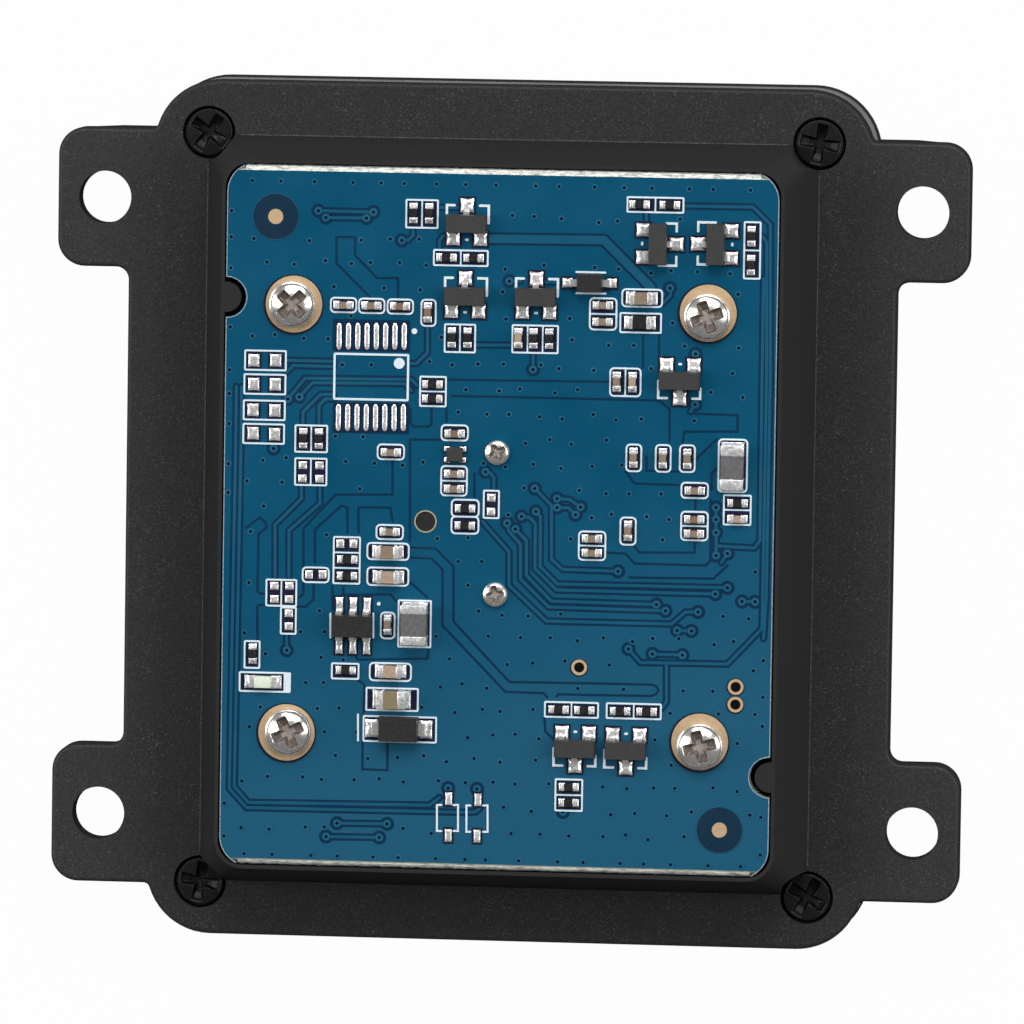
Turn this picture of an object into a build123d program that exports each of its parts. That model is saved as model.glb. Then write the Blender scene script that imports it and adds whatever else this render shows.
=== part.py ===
from build123d import *
import os

# Barcode scanner module, in millimetres. It lies on its front window, with the circuit board facing up (+Z).
# The origin is at the middle of the footprint, on the plane of the front rim.

# Outline of the body and of its four mounting ears
BODY_WIDTH = 50.7
BODY_HEIGHT = 60.4
BODY_CORNER = 4.6
EAR_SPAN = 64.3
EAR_PLATE_HEIGHT = 53.4
EAR_HEIGHT = 9.8
EAR_CORNER = 1.9
EAR_JOINT_FILLET = 0.45
WAIST_WIDTH = 54.2
WAIST_FILLET = 0.9
EAR_HOLE = 3.7
EAR_HOLE_INSET = 3.35
EAR_RIB_DEPTH = 2.6
EAR_RIB_THICKNESS = 1.2
EAR_RIB_SETBACK = 2.4
EAR_RIB_SLOPE = 1.6
EDGE_ROUND = 0.3

# Depths along Z
SHELL_DEPTH = 5.2
FLANGE_THICKNESS = 2.0
HOUSING_RISE = 7.0

# Raised housing that carries the board
HOUSING_BASE_WIDTH = 43.0
HOUSING_BASE_HEIGHT = 52.7
HOUSING_BASE_CORNER = 0.8
HOUSING_INNER_CORNER = 4.0
HOUSING_WALL = 1.5
LIP_WIDTH = 0.25
SEAT_CORNER = 1.6
SEAT_WIDTH = 1.2
SEAT_THICKNESS = 1.6
BOARD_GAP = 0.12

# Front shell and window
SHELL_WALL = 1.8
RIM_PROUD = 0.15
RIM_HEIGHT = 0.8
RIM_ROUND = 0.3
FRONT_BORDER = 2.6
WINDOW_CORNER = 3.0
WINDOW_THICKNESS = 1.5
WINDOW_GAP = 0.1
WINDOW_RECESS = 0.2
TAPE_THICKNESS = 0.15
TAPE_WIDTH = 2.2
LEDGE_WIDTH = 2.5
LEDGE_THICKNESS = 1.2
CABLE_SLOT_WIDTH = 12.0
CABLE_SLOT_DEPTH = 2.0

# Frame screws, black, flush in round pockets of the flange
FRAME_SCREW_PITCH_X = 43.0
FRAME_SCREW_PITCH_Y = 53.0
FRAME_SCREW_HEAD = 3.3
FRAME_SCREW_HEAD_HEIGHT = 1.1
FRAME_SCREW_SHANK = 2.0
FRAME_SCREW_LENGTH = 3.2
FRAME_SCREW_SINK = 0.1
FRAME_SCREW_TURNS = (-10, -35, -30, -10)
POCKET_GAP = 0.22
SHELL_BOSS = 5.4
PILOT_GAP = 0.06
SHANK_GAP = 0.3

# Driver recess of every screw, as shares of its head
CROSS_SPAN = 0.78
CROSS_ARM = 0.24
CROSS_DEPTH = 0.55

# Circuit board
BOARD_WIDTH = 38.5
BOARD_HEIGHT = 48.9
BOARD_THICKNESS = 1.6
BOARD_CORNER = 2.1
SNAP_TRIM = 0.2
BOARD_SHIFT_Y = 0.15
SCORE_WIDTH = 0.38
SCORE_DEPTH = 0.5
NOTCH_RADIUS = 1.4
NOTCH_GAP = 0.35
LEFT_NOTCH_Y = 15.2
RIGHT_NOTCH_Y = -17.5

# Board screws, bright pan heads in bosses of the rear frame
BOARD_SCREW_PITCH_X = 28.9
BOARD_SCREW_PITCH_Y = 29.9
BOARD_SCREW_HEAD = 3.0
BOARD_SCREW_HEAD_HEIGHT = 1.15
BOARD_SCREW_SHANK = 1.7
BOARD_SCREW_GRIP = 3.6
BOARD_SCREW_TURN = 20
BOSS_DIAMETER = 4.6
BOSS_HEIGHT = 4.8
BOSS_WEB = 1.4

# Camera behind the board
LENS_X = -0.1
LENS_Y = -0.2
HOLDER_WIDTH = 12.6
HOLDER_HEIGHT = 4.2
HOLDER_CAVITY = 7.8
HOLDER_CAVITY_HEIGHT = 2.0
HOLDER_CORNER = 1.0
NECK_DIAMETER = 9.2
NECK_HEIGHT = 2.4
BARREL_DIAMETER = 7.0
BARREL_HEAD = 8.2
BARREL_HEAD_HEIGHT = 1.0
BARREL_LENGTH = 5.6
BARREL_BORE = 4.4
LENS_DIAMETER = 5.2
LENS_CROWN = 0.5
LENS_THICKNESS = 1.0
LENS_SINK = 0.1
SENSOR_SIZE = (6.4, 5.8, 1.0)
LENS_SCREW_OFFSET = 4.95
LENS_SCREW_HEAD = 1.7
LENS_SCREW_HEAD_HEIGHT = 0.5
LENS_SCREW_SHANK = 0.9
LENS_SCREW_GRIP = 2.4
PEG_DIAMETER = 1.3
PEG_GAP = 0.14

# Lights and their inner frame
PLATE_THICKNESS = 1.2
PLATE_GAP = 0.4
PLATE_RIB = 1.2
FUNNEL_X = 7.6
FUNNEL_Y = 17.6
FUNNEL_WALL = 0.8
FUNNEL_FRONT = (10.0, 8.0)
FUNNEL_REAR = (4.4, 3.8)
FUNNEL_GAP = 0.4
DIFFUSER_THICKNESS = 0.8
DIFFUSER_LIP = 0.6
DIFFUSER_GAP = 0.1
LED_SIZE = (3.5, 2.8, 1.9)
LAMP_CUP_MOUTH = 0.42
LAMP_CUP_FLOOR = 0.8
LAMP_CUP_DEPTH = 0.5
HOOD_FRONT = 14.0
HOOD_REAR = 10.4
HOOD_DEPTH = 2.2
AIMING_X = -10.6
AIMING_TUBE = 4.6
AIMING_TUBE_DEPTH = 4.4
AIMING_LED_SIZE = (1.6, 3.2, 1.1)
AIMING_LENS_CROWN = 1.0
AIMING_LENS_FLANGE = 0.8

# Parts on the hidden side of the board: size and place
PROCESSOR_SIZE = (10.0, 10.0, 1.2)
PROCESSOR_PLACE = (12.2, 1.0)
MEMORY_SIZE = (5.2, 4.0, 1.5)
MEMORY_PLACE = (12.4, -8.2)
MEMORY_PITCH = 1.27
CRYSTAL_SIZE = (3.2, 2.5, 0.8)
CRYSTAL_PLACE = (12.4, 9.0)
BUZZER_DIAMETER = 8.5
BUZZER_HEIGHT = 4.0
BUZZER_HOLE = 1.6
BUZZER_PLACE = (-12.9, -7.6)
CONNECTOR_SIZE = (7.4, 4.4, 3.2)
CONNECTOR_Y = -20.6
CONNECTOR_WALL = 0.7
PIN_COUNT = 6
PIN_PITCH = 1.0
PIN_WIDTH = 0.4

# Small parts on the visible side of the board. Each place is (x, y) from the board's middle.
RESISTOR_SIZE = (1.0, 0.5, 0.35)
RESISTORS_ALONG_X = [
    (-3.85, 18.25), (-1.95, 18.25), (9.55, 22.2), (11.65, 22.2), (-4.7, 9.4), (-4.7, 8.4),
    (-2.3, 0.8), (-2.3, -0.4), (-10.5, -2.95), (-10.5, -4.1), (-10.5, -10.7), (16.7, 1.6),
    (4.45, -13.1), (6.25, -13.1), (8.75, -13.1), (10.6, -13.1), (5.25, -18.5), (5.25, -19.6),
]
RESISTORS_ALONG_Y = [
    (-6.2, 21.3), (-5.1, 21.3), (-3.4, 12.7), (-2.3, 12.7), (2.3, 12.75), (3.4, 12.75),
    (17.35, 20.15), (17.35, 18.15), (-13.7, 5.45), (-12.6, 5.45), (-17.05, -9.7),
]
CAPACITOR_SIZE = (1.0, 0.5, 0.5)
CAPACITORS_ALONG_X = [
    (-11.0, 14.8), (-9.05, 14.8), (-7.05, 14.8), (7.1, 15.15), (7.1, 14.0), (-7.55, 4.6),
    (-3.1, 6.0), (-3.1, 3.2), (-3.1, 2.15), (-7.55, -0.95), (13.7, 2.4), (16.7, 0.5),
    (13.7, 0.4), (13.7, -0.6), (6.6, -1.1), (6.6, -2.1),
]
CAPACITORS_ALONG_Y = [
    (-5.1, 14.4), (1.25, 12.75), (8.15, 9.85), (9.25, 9.85), (9.4, 4.6), (11.45, 4.6),
    (13.15, 4.6), (9.1, -0.5), (-7.6, -7.45),
]
LARGE_CAPACITOR_SIZE = (1.6, 0.85, 0.85)
LARGE_CAPACITORS = [(9.8, 15.7), (-7.65, -2.35), (-7.6, -4.1), (-7.35, -10.7)]
BULK_CAPACITOR_SIZE = (2.0, 1.25, 1.1)
BULK_CAPACITOR = (-7.25, -12.65)
LARGE_RESISTOR_SIZE = (1.6, 0.85, 0.45)
LARGE_RESISTOR = (9.7, 14.0)
FUSE_SIZE = (3.1, 1.6, 0.9)
FUSE_PLACE = (16.3, 4.1)
INDUCTOR_SIZE = (2.8, 1.8, 1.3)
INDUCTOR_PLACE = (-5.7, -7.35)
END_CAP_SHARE = 0.24
END_CAP_PROUD = 0.02
LAMP_SIZE = (2.0, 0.85, 0.6)
LAMP_PLACE = (-16.3, -11.65)
SENSOR_CHIP_SIZE = (1.1, 1.0, 0.5)
SENSOR_CHIP_PLACE = (-3.05, 4.55)
TRANSISTOR_SIZE = (2.9, 1.3, 1.0)
LEAD_PITCH = 1.9
LEAD_WIDTH = 0.42
LEAD_THICKNESS = 0.14
LEAD_REACH = 0.6
LEAD_FOOT = 0.4
MOULD_STANDOFF = 0.1
MOULD_DRAFT = 8.0
TRANSISTORS = [
    (-2.45, 20.65, 0), (-2.5, 15.6, 0), (2.45, 15.65, 0), (5.65, -15.75, 180), (9.2, -15.8, 180),
    (12.55, 10.05, 180), (10.9, 19.5, 270), (14.9, 19.55, 90),
]
REGULATOR_SIZE = (2.9, 1.6, 1.1)
REGULATOR_PLACE = (-10.05, -7.55)
REGULATOR_PITCH = 0.95
SMALL_DIODE_SIZE = (1.8, 1.3, 0.9)
SMALL_DIODE_PLACE = (6.2, 16.7)
SMALL_DIODE_LEAD = 0.5
LARGE_DIODE_SIZE = (2.8, 1.8, 1.1)
LARGE_DIODE_PLACE = (-6.7, -14.7)
LARGE_DIODE_LEAD = 0.9
DIODE_REACH = 0.85

# Levels and sizes that follow
FLANGE_REAR = SHELL_DEPTH + FLANGE_THICKNESS
BOARD_REAR = FLANGE_REAR + HOUSING_RISE
BOARD_FRONT = BOARD_REAR - BOARD_THICKNESS
LEDGE_FRONT = WINDOW_RECESS + WINDOW_THICKNESS + TAPE_THICKNESS
LEDGE_REAR = LEDGE_FRONT + LEDGE_THICKNESS
WINDOW_WIDTH = BODY_WIDTH - 2 * FRONT_BORDER
WINDOW_HEIGHT = BODY_HEIGHT - 2 * FRONT_BORDER
EAR_PITCH_X = EAR_SPAN - 2 * EAR_HOLE_INSET
EAR_PITCH_Y = EAR_PLATE_HEIGHT - EAR_HEIGHT
LENS_CENTRE = (LENS_X, LENS_Y + BOARD_SHIFT_Y)
SCREW_POCKET = FRAME_SCREW_HEAD + 2 * POCKET_GAP
SCREW_POCKET_DEPTH = FRAME_SCREW_HEAD_HEIGHT + FRAME_SCREW_SINK


def rounded(width, height, radius, z=0.0):
    """A face in the shape of a rounded rectangle at height z."""
    return Pos(0, 0, z) * RectangleRounded(width, height, radius)


def prism(face, depth):
    """The face raised along Z by depth."""
    return extrude(face, amount=depth, dir=(0, 0, 1))


def corners(pitch_x, pitch_y):
    """Centres of a rectangular pattern of four."""
    return [(x * pitch_x / 2, y * pitch_y / 2) for x in (-1, 1) for y in (-1, 1)]


def rod(diameter, low, high, place=(0, 0)):
    """An upright cylinder between two heights."""
    base = Pos(place[0], place[1], low)
    return base * Cylinder(diameter / 2, high - low, align=(Align.CENTER, Align.CENTER, Align.MIN))


def block(size, low, place=(0, 0)):
    """An upright box that stands at height low."""
    base = Pos(place[0], place[1], low)
    return base * Box(*size, align=(Align.CENTER, Align.CENTER, Align.MIN))


def spread(shape, places):
    """Copies of a shape at places on the rear of the board, as (x, y) or (x, y, angle)."""
    copies = []
    for place in places:
        angle = place[2] if len(place) > 2 else 0
        copies.append(Pos(place[0], place[1] + BOARD_SHIFT_Y, BOARD_REAR) * Rot(0, 0, angle) * shape)
    return copies


def save(name, shapes):
    """Write one node, of one solid or of several like ones."""
    solids = shapes if isinstance(shapes, list) else [shapes]
    whole = [s for shape in solids for s in shape.solids()]
    export_step(whole[0] if len(whole) == 1 else Compound(children=whole), f"parts/{name}.step")


def flange_outline():
    """Body rectangle joined with the ear plate, whose sides are cut back to the waist."""
    plate = Rectangle(EAR_SPAN, EAR_PLATE_HEIGHT)
    side = (EAR_SPAN - WAIST_WIDTH) / 2
    gap = EAR_PLATE_HEIGHT - 2 * EAR_HEIGHT
    for sign in (-1, 1):
        plate -= Pos(sign * (EAR_SPAN - side) / 2, 0) * Rectangle(side, gap)
    tips = [v for v in plate.vertices() if abs(v.X) > WAIST_WIDTH / 2 + side / 2]
    limit = 0.45 * side
    plate = fillet(tips, min(EAR_CORNER, limit))
    roots = [v for v in plate.vertices() if abs(abs(v.X) - WAIST_WIDTH / 2) < side / 100]
    plate = fillet(roots, min(WAIST_FILLET, limit))
    whole = plate + RectangleRounded(BODY_WIDTH, BODY_HEIGHT, BODY_CORNER)
    level = EAR_PLATE_HEIGHT / 2
    joints = [v for v in whole.vertices() if abs(v.X) < BODY_WIDTH / 2 and abs(abs(v.Y) - level) < side / 100]
    return fillet(joints, EAR_JOINT_FILLET)


def seat_outline(grow=0.0):
    """Outline of the place for the board, enlarged all round by grow."""
    width = BOARD_WIDTH + 2 * grow
    height = BOARD_HEIGHT + 2 * grow
    return Pos(0, BOARD_SHIFT_Y) * RectangleRounded(width, height, SEAT_CORNER + grow)


def board_outline():
    """Outline of the board, whose routed corners are cut short by the snapped upper and lower edges."""
    routed = RectangleRounded(BOARD_WIDTH, BOARD_HEIGHT + 2 * SNAP_TRIM, BOARD_CORNER)
    return Pos(0, BOARD_SHIFT_Y) * (routed & Rectangle(BOARD_WIDTH, BOARD_HEIGHT))


def raised_solid(inset, corner):
    """Tapered block between the flange and the lip, moved inwards by inset all round."""
    base = rounded(HOUSING_BASE_WIDTH - 2 * inset, HOUSING_BASE_HEIGHT - 2 * inset, corner, FLANGE_REAR)
    top = Pos(0, 0, BOARD_REAR) * seat_outline(BOARD_GAP + LIP_WIDTH - inset)
    return loft([base, top])


def ear_ribs():
    """Stiffening ribs under the outer edge of each ear, clear of the shell's side."""
    start = BODY_WIDTH / 2 + RIM_PROUD
    end = EAR_SPAN / 2 - EAR_RIB_SETBACK
    low = SHELL_DEPTH - EAR_RIB_DEPTH
    side = Polyline(
        (start, SHELL_DEPTH), (start, low), (end - EAR_RIB_SLOPE, low), (end, SHELL_DEPTH), close=True
    )
    profile = Plane.XZ * make_face(side)
    rib = extrude(profile, amount=EAR_RIB_THICKNESS)
    rib = Pos(0, EAR_PLATE_HEIGHT / 2, 0) * rib
    both = rib + mirror(rib, about=Plane.YZ)
    return both + mirror(both, about=Plane.XZ)


def screw_mounts():
    """Bosses under the board with webs to the side walls."""
    low = BOARD_FRONT - BOSS_HEIGHT
    mounts = []
    for x, y in corners(BOARD_SCREW_PITCH_X, BOARD_SCREW_PITCH_Y):
        reach = HOUSING_BASE_WIDTH / 2 - abs(x)
        middle = (x + (reach / 2 if x > 0 else -reach / 2), y)
        mounts.append(rod(BOSS_DIAMETER, low, BOARD_FRONT, (x, y)))
        mounts.append(block((reach, BOSS_WEB, BOSS_HEIGHT), low, middle))
    return mounts


def notch_pegs():
    """Half-round pegs that stand in the board's edge notches."""
    diameter = 2 * (NOTCH_RADIUS - NOTCH_GAP)
    left = (-BOARD_WIDTH / 2, LEFT_NOTCH_Y + BOARD_SHIFT_Y)
    right = (BOARD_WIDTH / 2, RIGHT_NOTCH_Y + BOARD_SHIFT_Y)
    return [rod(diameter, BOARD_FRONT, BOARD_REAR, place) for place in (left, right)]


def rear_frame():
    """Flange with ears and the raised, hollow housing that the board is screwed into."""
    flange = prism(Pos(0, 0, SHELL_DEPTH) * flange_outline(), FLANGE_THICKNESS)
    flange = fillet(flange.edges().group_by(Axis.Z)[-1], EDGE_ROUND)
    for place in corners(EAR_PITCH_X, EAR_PITCH_Y):
        flange -= rod(EAR_HOLE, SHELL_DEPTH, FLANGE_REAR, place)
    outer = raised_solid(0, HOUSING_BASE_CORNER)
    seat_low = BOARD_FRONT - SEAT_THICKNESS
    hollow = raised_solid(HOUSING_WALL, HOUSING_INNER_CORNER) & block(
        (HOUSING_BASE_WIDTH, HOUSING_BASE_HEIGHT, seat_low - FLANGE_REAR), FLANGE_REAR
    )
    mouth = rounded(
        HOUSING_BASE_WIDTH - 2 * HOUSING_WALL,
        HOUSING_BASE_HEIGHT - 2 * HOUSING_WALL,
        HOUSING_INNER_CORNER,
        SHELL_DEPTH,
    )
    frame = flange + outer - hollow - prism(mouth, FLANGE_THICKNESS)
    frame -= prism(Pos(0, 0, seat_low) * seat_outline(-SEAT_WIDTH), SEAT_THICKNESS)
    frame -= prism(Pos(0, 0, BOARD_FRONT) * seat_outline(BOARD_GAP), BOARD_THICKNESS)
    for piece in screw_mounts() + notch_pegs():
        frame += piece & outer
    frame += ear_ribs()
    pilot_low = BOARD_FRONT - BOARD_SCREW_GRIP - SHANK_GAP
    for place in corners(BOARD_SCREW_PITCH_X, BOARD_SCREW_PITCH_Y):
        frame -= rod(BOARD_SCREW_SHANK + 2 * PILOT_GAP, pilot_low, BOARD_FRONT, place)
    for place in corners(FRAME_SCREW_PITCH_X, FRAME_SCREW_PITCH_Y):
        frame -= rod(SCREW_POCKET, FLANGE_REAR - SCREW_POCKET_DEPTH, BOARD_REAR, place)
        frame -= rod(FRAME_SCREW_SHANK + 2 * SHANK_GAP, SHELL_DEPTH, FLANGE_REAR, place)
    return frame


def front_shell():
    """Shallow shell with a pocket and a ledge for the window, and four screw bosses."""
    wide = rounded(BODY_WIDTH + 2 * RIM_PROUD, BODY_HEIGHT + 2 * RIM_PROUD, BODY_CORNER + RIM_PROUD)
    rim = prism(wide, RIM_HEIGHT)
    rim = fillet(rim.edges().group_by(Axis.Z)[0], RIM_ROUND)
    outer = rim + prism(rounded(BODY_WIDTH, BODY_HEIGHT, BODY_CORNER, RIM_ROUND), SHELL_DEPTH - RIM_ROUND)
    room = rounded(
        BODY_WIDTH - 2 * SHELL_WALL, BODY_HEIGHT - 2 * SHELL_WALL, BODY_CORNER - SHELL_WALL, LEDGE_REAR
    )
    shell = outer - prism(room, SHELL_DEPTH - LEDGE_REAR)
    for place in corners(FRAME_SCREW_PITCH_X, FRAME_SCREW_PITCH_Y):
        shell += rod(SHELL_BOSS, LEDGE_FRONT, SHELL_DEPTH, place) & outer
    pocket = rounded(
        WINDOW_WIDTH + 2 * WINDOW_GAP, WINDOW_HEIGHT + 2 * WINDOW_GAP, WINDOW_CORNER + WINDOW_GAP
    )
    opening = rounded(WINDOW_WIDTH - 2 * LEDGE_WIDTH, WINDOW_HEIGHT - 2 * LEDGE_WIDTH, WINDOW_CORNER)
    shell = shell - prism(pocket, LEDGE_FRONT) - prism(opening, LEDGE_REAR)
    floor = FLANGE_THICKNESS - SCREW_POCKET_DEPTH
    pilot_low = SHELL_DEPTH - (FRAME_SCREW_LENGTH - floor) - PILOT_GAP
    for place in corners(FRAME_SCREW_PITCH_X, FRAME_SCREW_PITCH_Y):
        shell -= rod(FRAME_SCREW_SHANK + 2 * PILOT_GAP, pilot_low, SHELL_DEPTH, place)
    return shell - cable_slot()


def cable_slot():
    """Gap in the lower wall, closed by the flange, that lets the cable out."""
    size = (CABLE_SLOT_WIDTH, 4 * SHELL_WALL, CABLE_SLOT_DEPTH)
    return block(size, SHELL_DEPTH - CABLE_SLOT_DEPTH, (0, -BODY_HEIGHT / 2))


def window():
    """Clear front window."""
    return prism(rounded(WINDOW_WIDTH, WINDOW_HEIGHT, WINDOW_CORNER, WINDOW_RECESS), WINDOW_THICKNESS)


def window_tape():
    """Adhesive frame between the window and its ledge."""
    low = WINDOW_RECESS + WINDOW_THICKNESS
    hole = rounded(WINDOW_WIDTH - 2 * TAPE_WIDTH, WINDOW_HEIGHT - 2 * TAPE_WIDTH, WINDOW_CORNER, low)
    full = rounded(WINDOW_WIDTH, WINDOW_HEIGHT, WINDOW_CORNER, low)
    return prism(full, TAPE_THICKNESS) - prism(hole, TAPE_THICKNESS)


def cross_cut(span, arm, depth, top):
    """Cross-shaped driver recess, narrower towards its floor, cut down from height top."""
    wide = Pos(0, 0, top) * (Rectangle(span, arm) + Rectangle(arm, span))
    narrow = Pos(0, 0, top - depth) * (Rectangle(span / 2, arm / 2) + Rectangle(arm / 2, span / 2))
    return loft([wide, narrow])


def screw(head, head_height, shank, length, edge):
    """A screw that stands point down, with the underside of its head at z = 0."""
    top = fillet(rod(head, 0, head_height).edges().group_by(Axis.Z)[-1], edge)
    body = top + rod(shank, -length, 0)
    return body - cross_cut(head * CROSS_SPAN, head * CROSS_ARM, head_height * CROSS_DEPTH, head_height)


def frame_screws():
    """Four black screws whose heads fill the pockets of the flange."""
    piece = screw(
        FRAME_SCREW_HEAD, FRAME_SCREW_HEAD_HEIGHT, FRAME_SCREW_SHANK, FRAME_SCREW_LENGTH, EDGE_ROUND / 2
    )
    low = FLANGE_REAR - SCREW_POCKET_DEPTH
    places = corners(FRAME_SCREW_PITCH_X, FRAME_SCREW_PITCH_Y)
    return [Pos(x, y, low) * Rot(0, 0, turn) * piece for (x, y), turn in zip(places, FRAME_SCREW_TURNS)]


def board_screws():
    """Four bright pan-head screws through the board."""
    length = BOARD_THICKNESS + BOARD_SCREW_GRIP
    edge = BOARD_SCREW_HEAD_HEIGHT / 2
    piece = screw(BOARD_SCREW_HEAD, BOARD_SCREW_HEAD_HEIGHT, BOARD_SCREW_SHANK, length, edge)
    places = corners(BOARD_SCREW_PITCH_X, BOARD_SCREW_PITCH_Y)
    return [Pos(x, y, BOARD_REAR) * Rot(0, 0, BOARD_SCREW_TURN) * piece for x, y in places]


def lens_holder_screws():
    """Two small screws through the board into the lens holder."""
    length = BOARD_THICKNESS + LENS_SCREW_GRIP
    edge = LENS_SCREW_HEAD_HEIGHT / 2
    piece = screw(LENS_SCREW_HEAD, LENS_SCREW_HEAD_HEIGHT, LENS_SCREW_SHANK, length, edge)
    x, y = LENS_CENTRE
    return [Pos(x, y + sign * LENS_SCREW_OFFSET, BOARD_REAR) * piece for sign in (-1, 1)]


def score_wedges():
    """Wedges that bevel the two snapped edges of the board on both faces."""
    profile = make_face(Polyline((0, 0), (-SCORE_WIDTH, 0), (0, -SCORE_DEPTH), close=True))
    wedge = extrude(Plane.YZ * profile, amount=BOARD_WIDTH / 2, both=True)
    top = Pos(0, BOARD_HEIGHT / 2, BOARD_REAR) * wedge
    pair = top + mirror(top, about=Plane.XY.offset((BOARD_FRONT + BOARD_REAR) / 2))
    return Pos(0, BOARD_SHIFT_Y) * (pair + mirror(pair, about=Plane.XZ))


def circuit_board():
    """Board with snapped upper and lower edges, round edge notches and its holes."""
    board = prism(Pos(0, 0, BOARD_FRONT) * board_outline(), BOARD_THICKNESS) - score_wedges()
    for x, y in ((-BOARD_WIDTH / 2, LEFT_NOTCH_Y), (BOARD_WIDTH / 2, RIGHT_NOTCH_Y)):
        board -= rod(2 * NOTCH_RADIUS, BOARD_FRONT, BOARD_REAR, (x, y + BOARD_SHIFT_Y))
    for place in corners(BOARD_SCREW_PITCH_X, BOARD_SCREW_PITCH_Y):
        board -= rod(BOARD_SCREW_SHANK + 2 * SHANK_GAP, BOARD_FRONT, BOARD_REAR, place)
    x, y = LENS_CENTRE
    for sign in (-1, 1):
        hole = (x, y + sign * LENS_SCREW_OFFSET)
        board -= rod(LENS_SCREW_SHANK + SHANK_GAP, BOARD_FRONT, BOARD_REAR, hole)
    board -= rod(PEG_DIAMETER + 2 * PEG_GAP, BOARD_FRONT, BOARD_REAR, (x - LENS_SCREW_OFFSET, y))
    return board


def lens_holder():
    """Square base over the image sensor, with a round neck for the barrel and a locating peg."""
    low = BOARD_FRONT - HOLDER_HEIGHT
    x, y = LENS_CENTRE
    base = prism(Pos(x, y) * rounded(HOLDER_WIDTH, HOLDER_WIDTH, HOLDER_CORNER, low), HOLDER_HEIGHT)
    holder = base + rod(NECK_DIAMETER, low - NECK_HEIGHT, low, (x, y))
    holder += rod(PEG_DIAMETER, BOARD_FRONT, BOARD_REAR, (x - LENS_SCREW_OFFSET, y))
    cavity = (HOLDER_CAVITY, HOLDER_CAVITY, HOLDER_CAVITY_HEIGHT)
    holder -= block(cavity, BOARD_FRONT - HOLDER_CAVITY_HEIGHT, (x, y))
    holder -= rod(BARREL_DIAMETER + 2 * PILOT_GAP, low - NECK_HEIGHT, BOARD_FRONT, (x, y))
    pilot = LENS_SCREW_SHANK + 2 * PILOT_GAP
    for sign in (-1, 1):
        hole = (x, y + sign * LENS_SCREW_OFFSET)
        holder -= rod(pilot, BOARD_FRONT - LENS_SCREW_GRIP - SHANK_GAP, BOARD_FRONT, hole)
    return holder


def barrel_front():
    """Height of the front end of the lens barrel."""
    return BOARD_FRONT - HOLDER_HEIGHT - NECK_HEIGHT - BARREL_HEAD_HEIGHT


def lens_barrel():
    """Turned barrel with a wider head and a seat for the front lens."""
    front = barrel_front()
    seat = front + LENS_SINK + LENS_CROWN + LENS_THICKNESS
    barrel = rod(BARREL_DIAMETER, front, front + BARREL_LENGTH, LENS_CENTRE)
    barrel += rod(BARREL_HEAD, front, front + BARREL_HEAD_HEIGHT, LENS_CENTRE)
    barrel -= rod(BARREL_BORE, front, front + BARREL_LENGTH, LENS_CENTRE)
    return barrel - rod(LENS_DIAMETER + 2 * PILOT_GAP, front, seat, LENS_CENTRE)


def domed_lens(diameter, thickness, crown):
    """A lens with a flat rear face at z = 0 and a domed front that faces down."""
    radius = (crown ** 2 + (diameter / 2) ** 2) / (2 * crown)
    ball = Pos(0, 0, radius - thickness - crown) * Sphere(radius)
    return ball & rod(diameter, -thickness - crown, 0)


def lens_glass():
    """Front lens of the camera."""
    seat = barrel_front() + LENS_SINK + LENS_CROWN + LENS_THICKNESS
    return Pos(*LENS_CENTRE, seat) * domed_lens(LENS_DIAMETER, LENS_THICKNESS, LENS_CROWN)


def chip_package(size, bevel):
    """A flat package with its outer edges bevelled, standing on z = 0."""
    body = block(size, 0)
    return chamfer(body.edges().group_by(Axis.Z)[-1], bevel)


def on_front(shape, place):
    """A part turned over and seated on the hidden side of the board."""
    return Pos(place[0], place[1] + BOARD_SHIFT_Y, BOARD_FRONT) * Rot(180, 0, 0) * shape


def on_lens_axis(shape):
    """A part turned over and seated on the board behind the lens."""
    return Pos(*LENS_CENTRE, BOARD_FRONT) * Rot(180, 0, 0) * shape


def moulded_body(size, standoff):
    """Moulded package body that narrows away from its parting line."""
    width, depth, height = size
    middle = (height + standoff) / 2
    waist = Pos(0, 0, middle) * Rectangle(width, depth)
    upper = extrude(waist, amount=height - middle, dir=(0, 0, 1), taper=MOULD_DRAFT)
    lower = extrude(waist, amount=middle - standoff, dir=(0, 0, -1), taper=MOULD_DRAFT)
    return upper + lower


def gull_lead(size, standoff, reach, width):
    """One bent lead that leaves the body towards +Y and ends in a foot on z = 0."""
    t = LEAD_THICKNESS
    level = (size[2] + standoff) / 2
    root = size[1] / 2
    knee = root + reach - LEAD_FOOT
    outline = Polyline(
        (0, root, level + t / 2), (0, knee, level + t / 2), (0, knee + t, t), (0, root + reach, t),
        (0, root + reach, 0), (0, knee, 0), (0, knee - t, level - t / 2), (0, root, level - t / 2),
        close=True,
    )
    return extrude(make_face(outline), amount=width / 2, dir=(1, 0, 0), both=True)


def lead_row(size, standoff, reach, width, offsets):
    """Leads on the +Y side at the given places along X."""
    lead = gull_lead(size, standoff, reach, width)
    return [Pos(x, 0, 0) * lead for x in offsets]


def transistor_leads():
    """Two leads on one side and one on the other."""
    form = (TRANSISTOR_SIZE, MOULD_STANDOFF, LEAD_REACH, LEAD_WIDTH)
    pair = lead_row(*form, (-LEAD_PITCH / 2, LEAD_PITCH / 2))
    single = lead_row(*form, (0,))
    return single + [Rot(0, 0, 180) * lead for lead in pair]


def both_rows(size, standoff, reach, width, offsets):
    """The same row of leads on both long sides."""
    row = lead_row(size, standoff, reach, width, offsets)
    return row + [Rot(0, 0, 180) * lead for lead in row]


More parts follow.
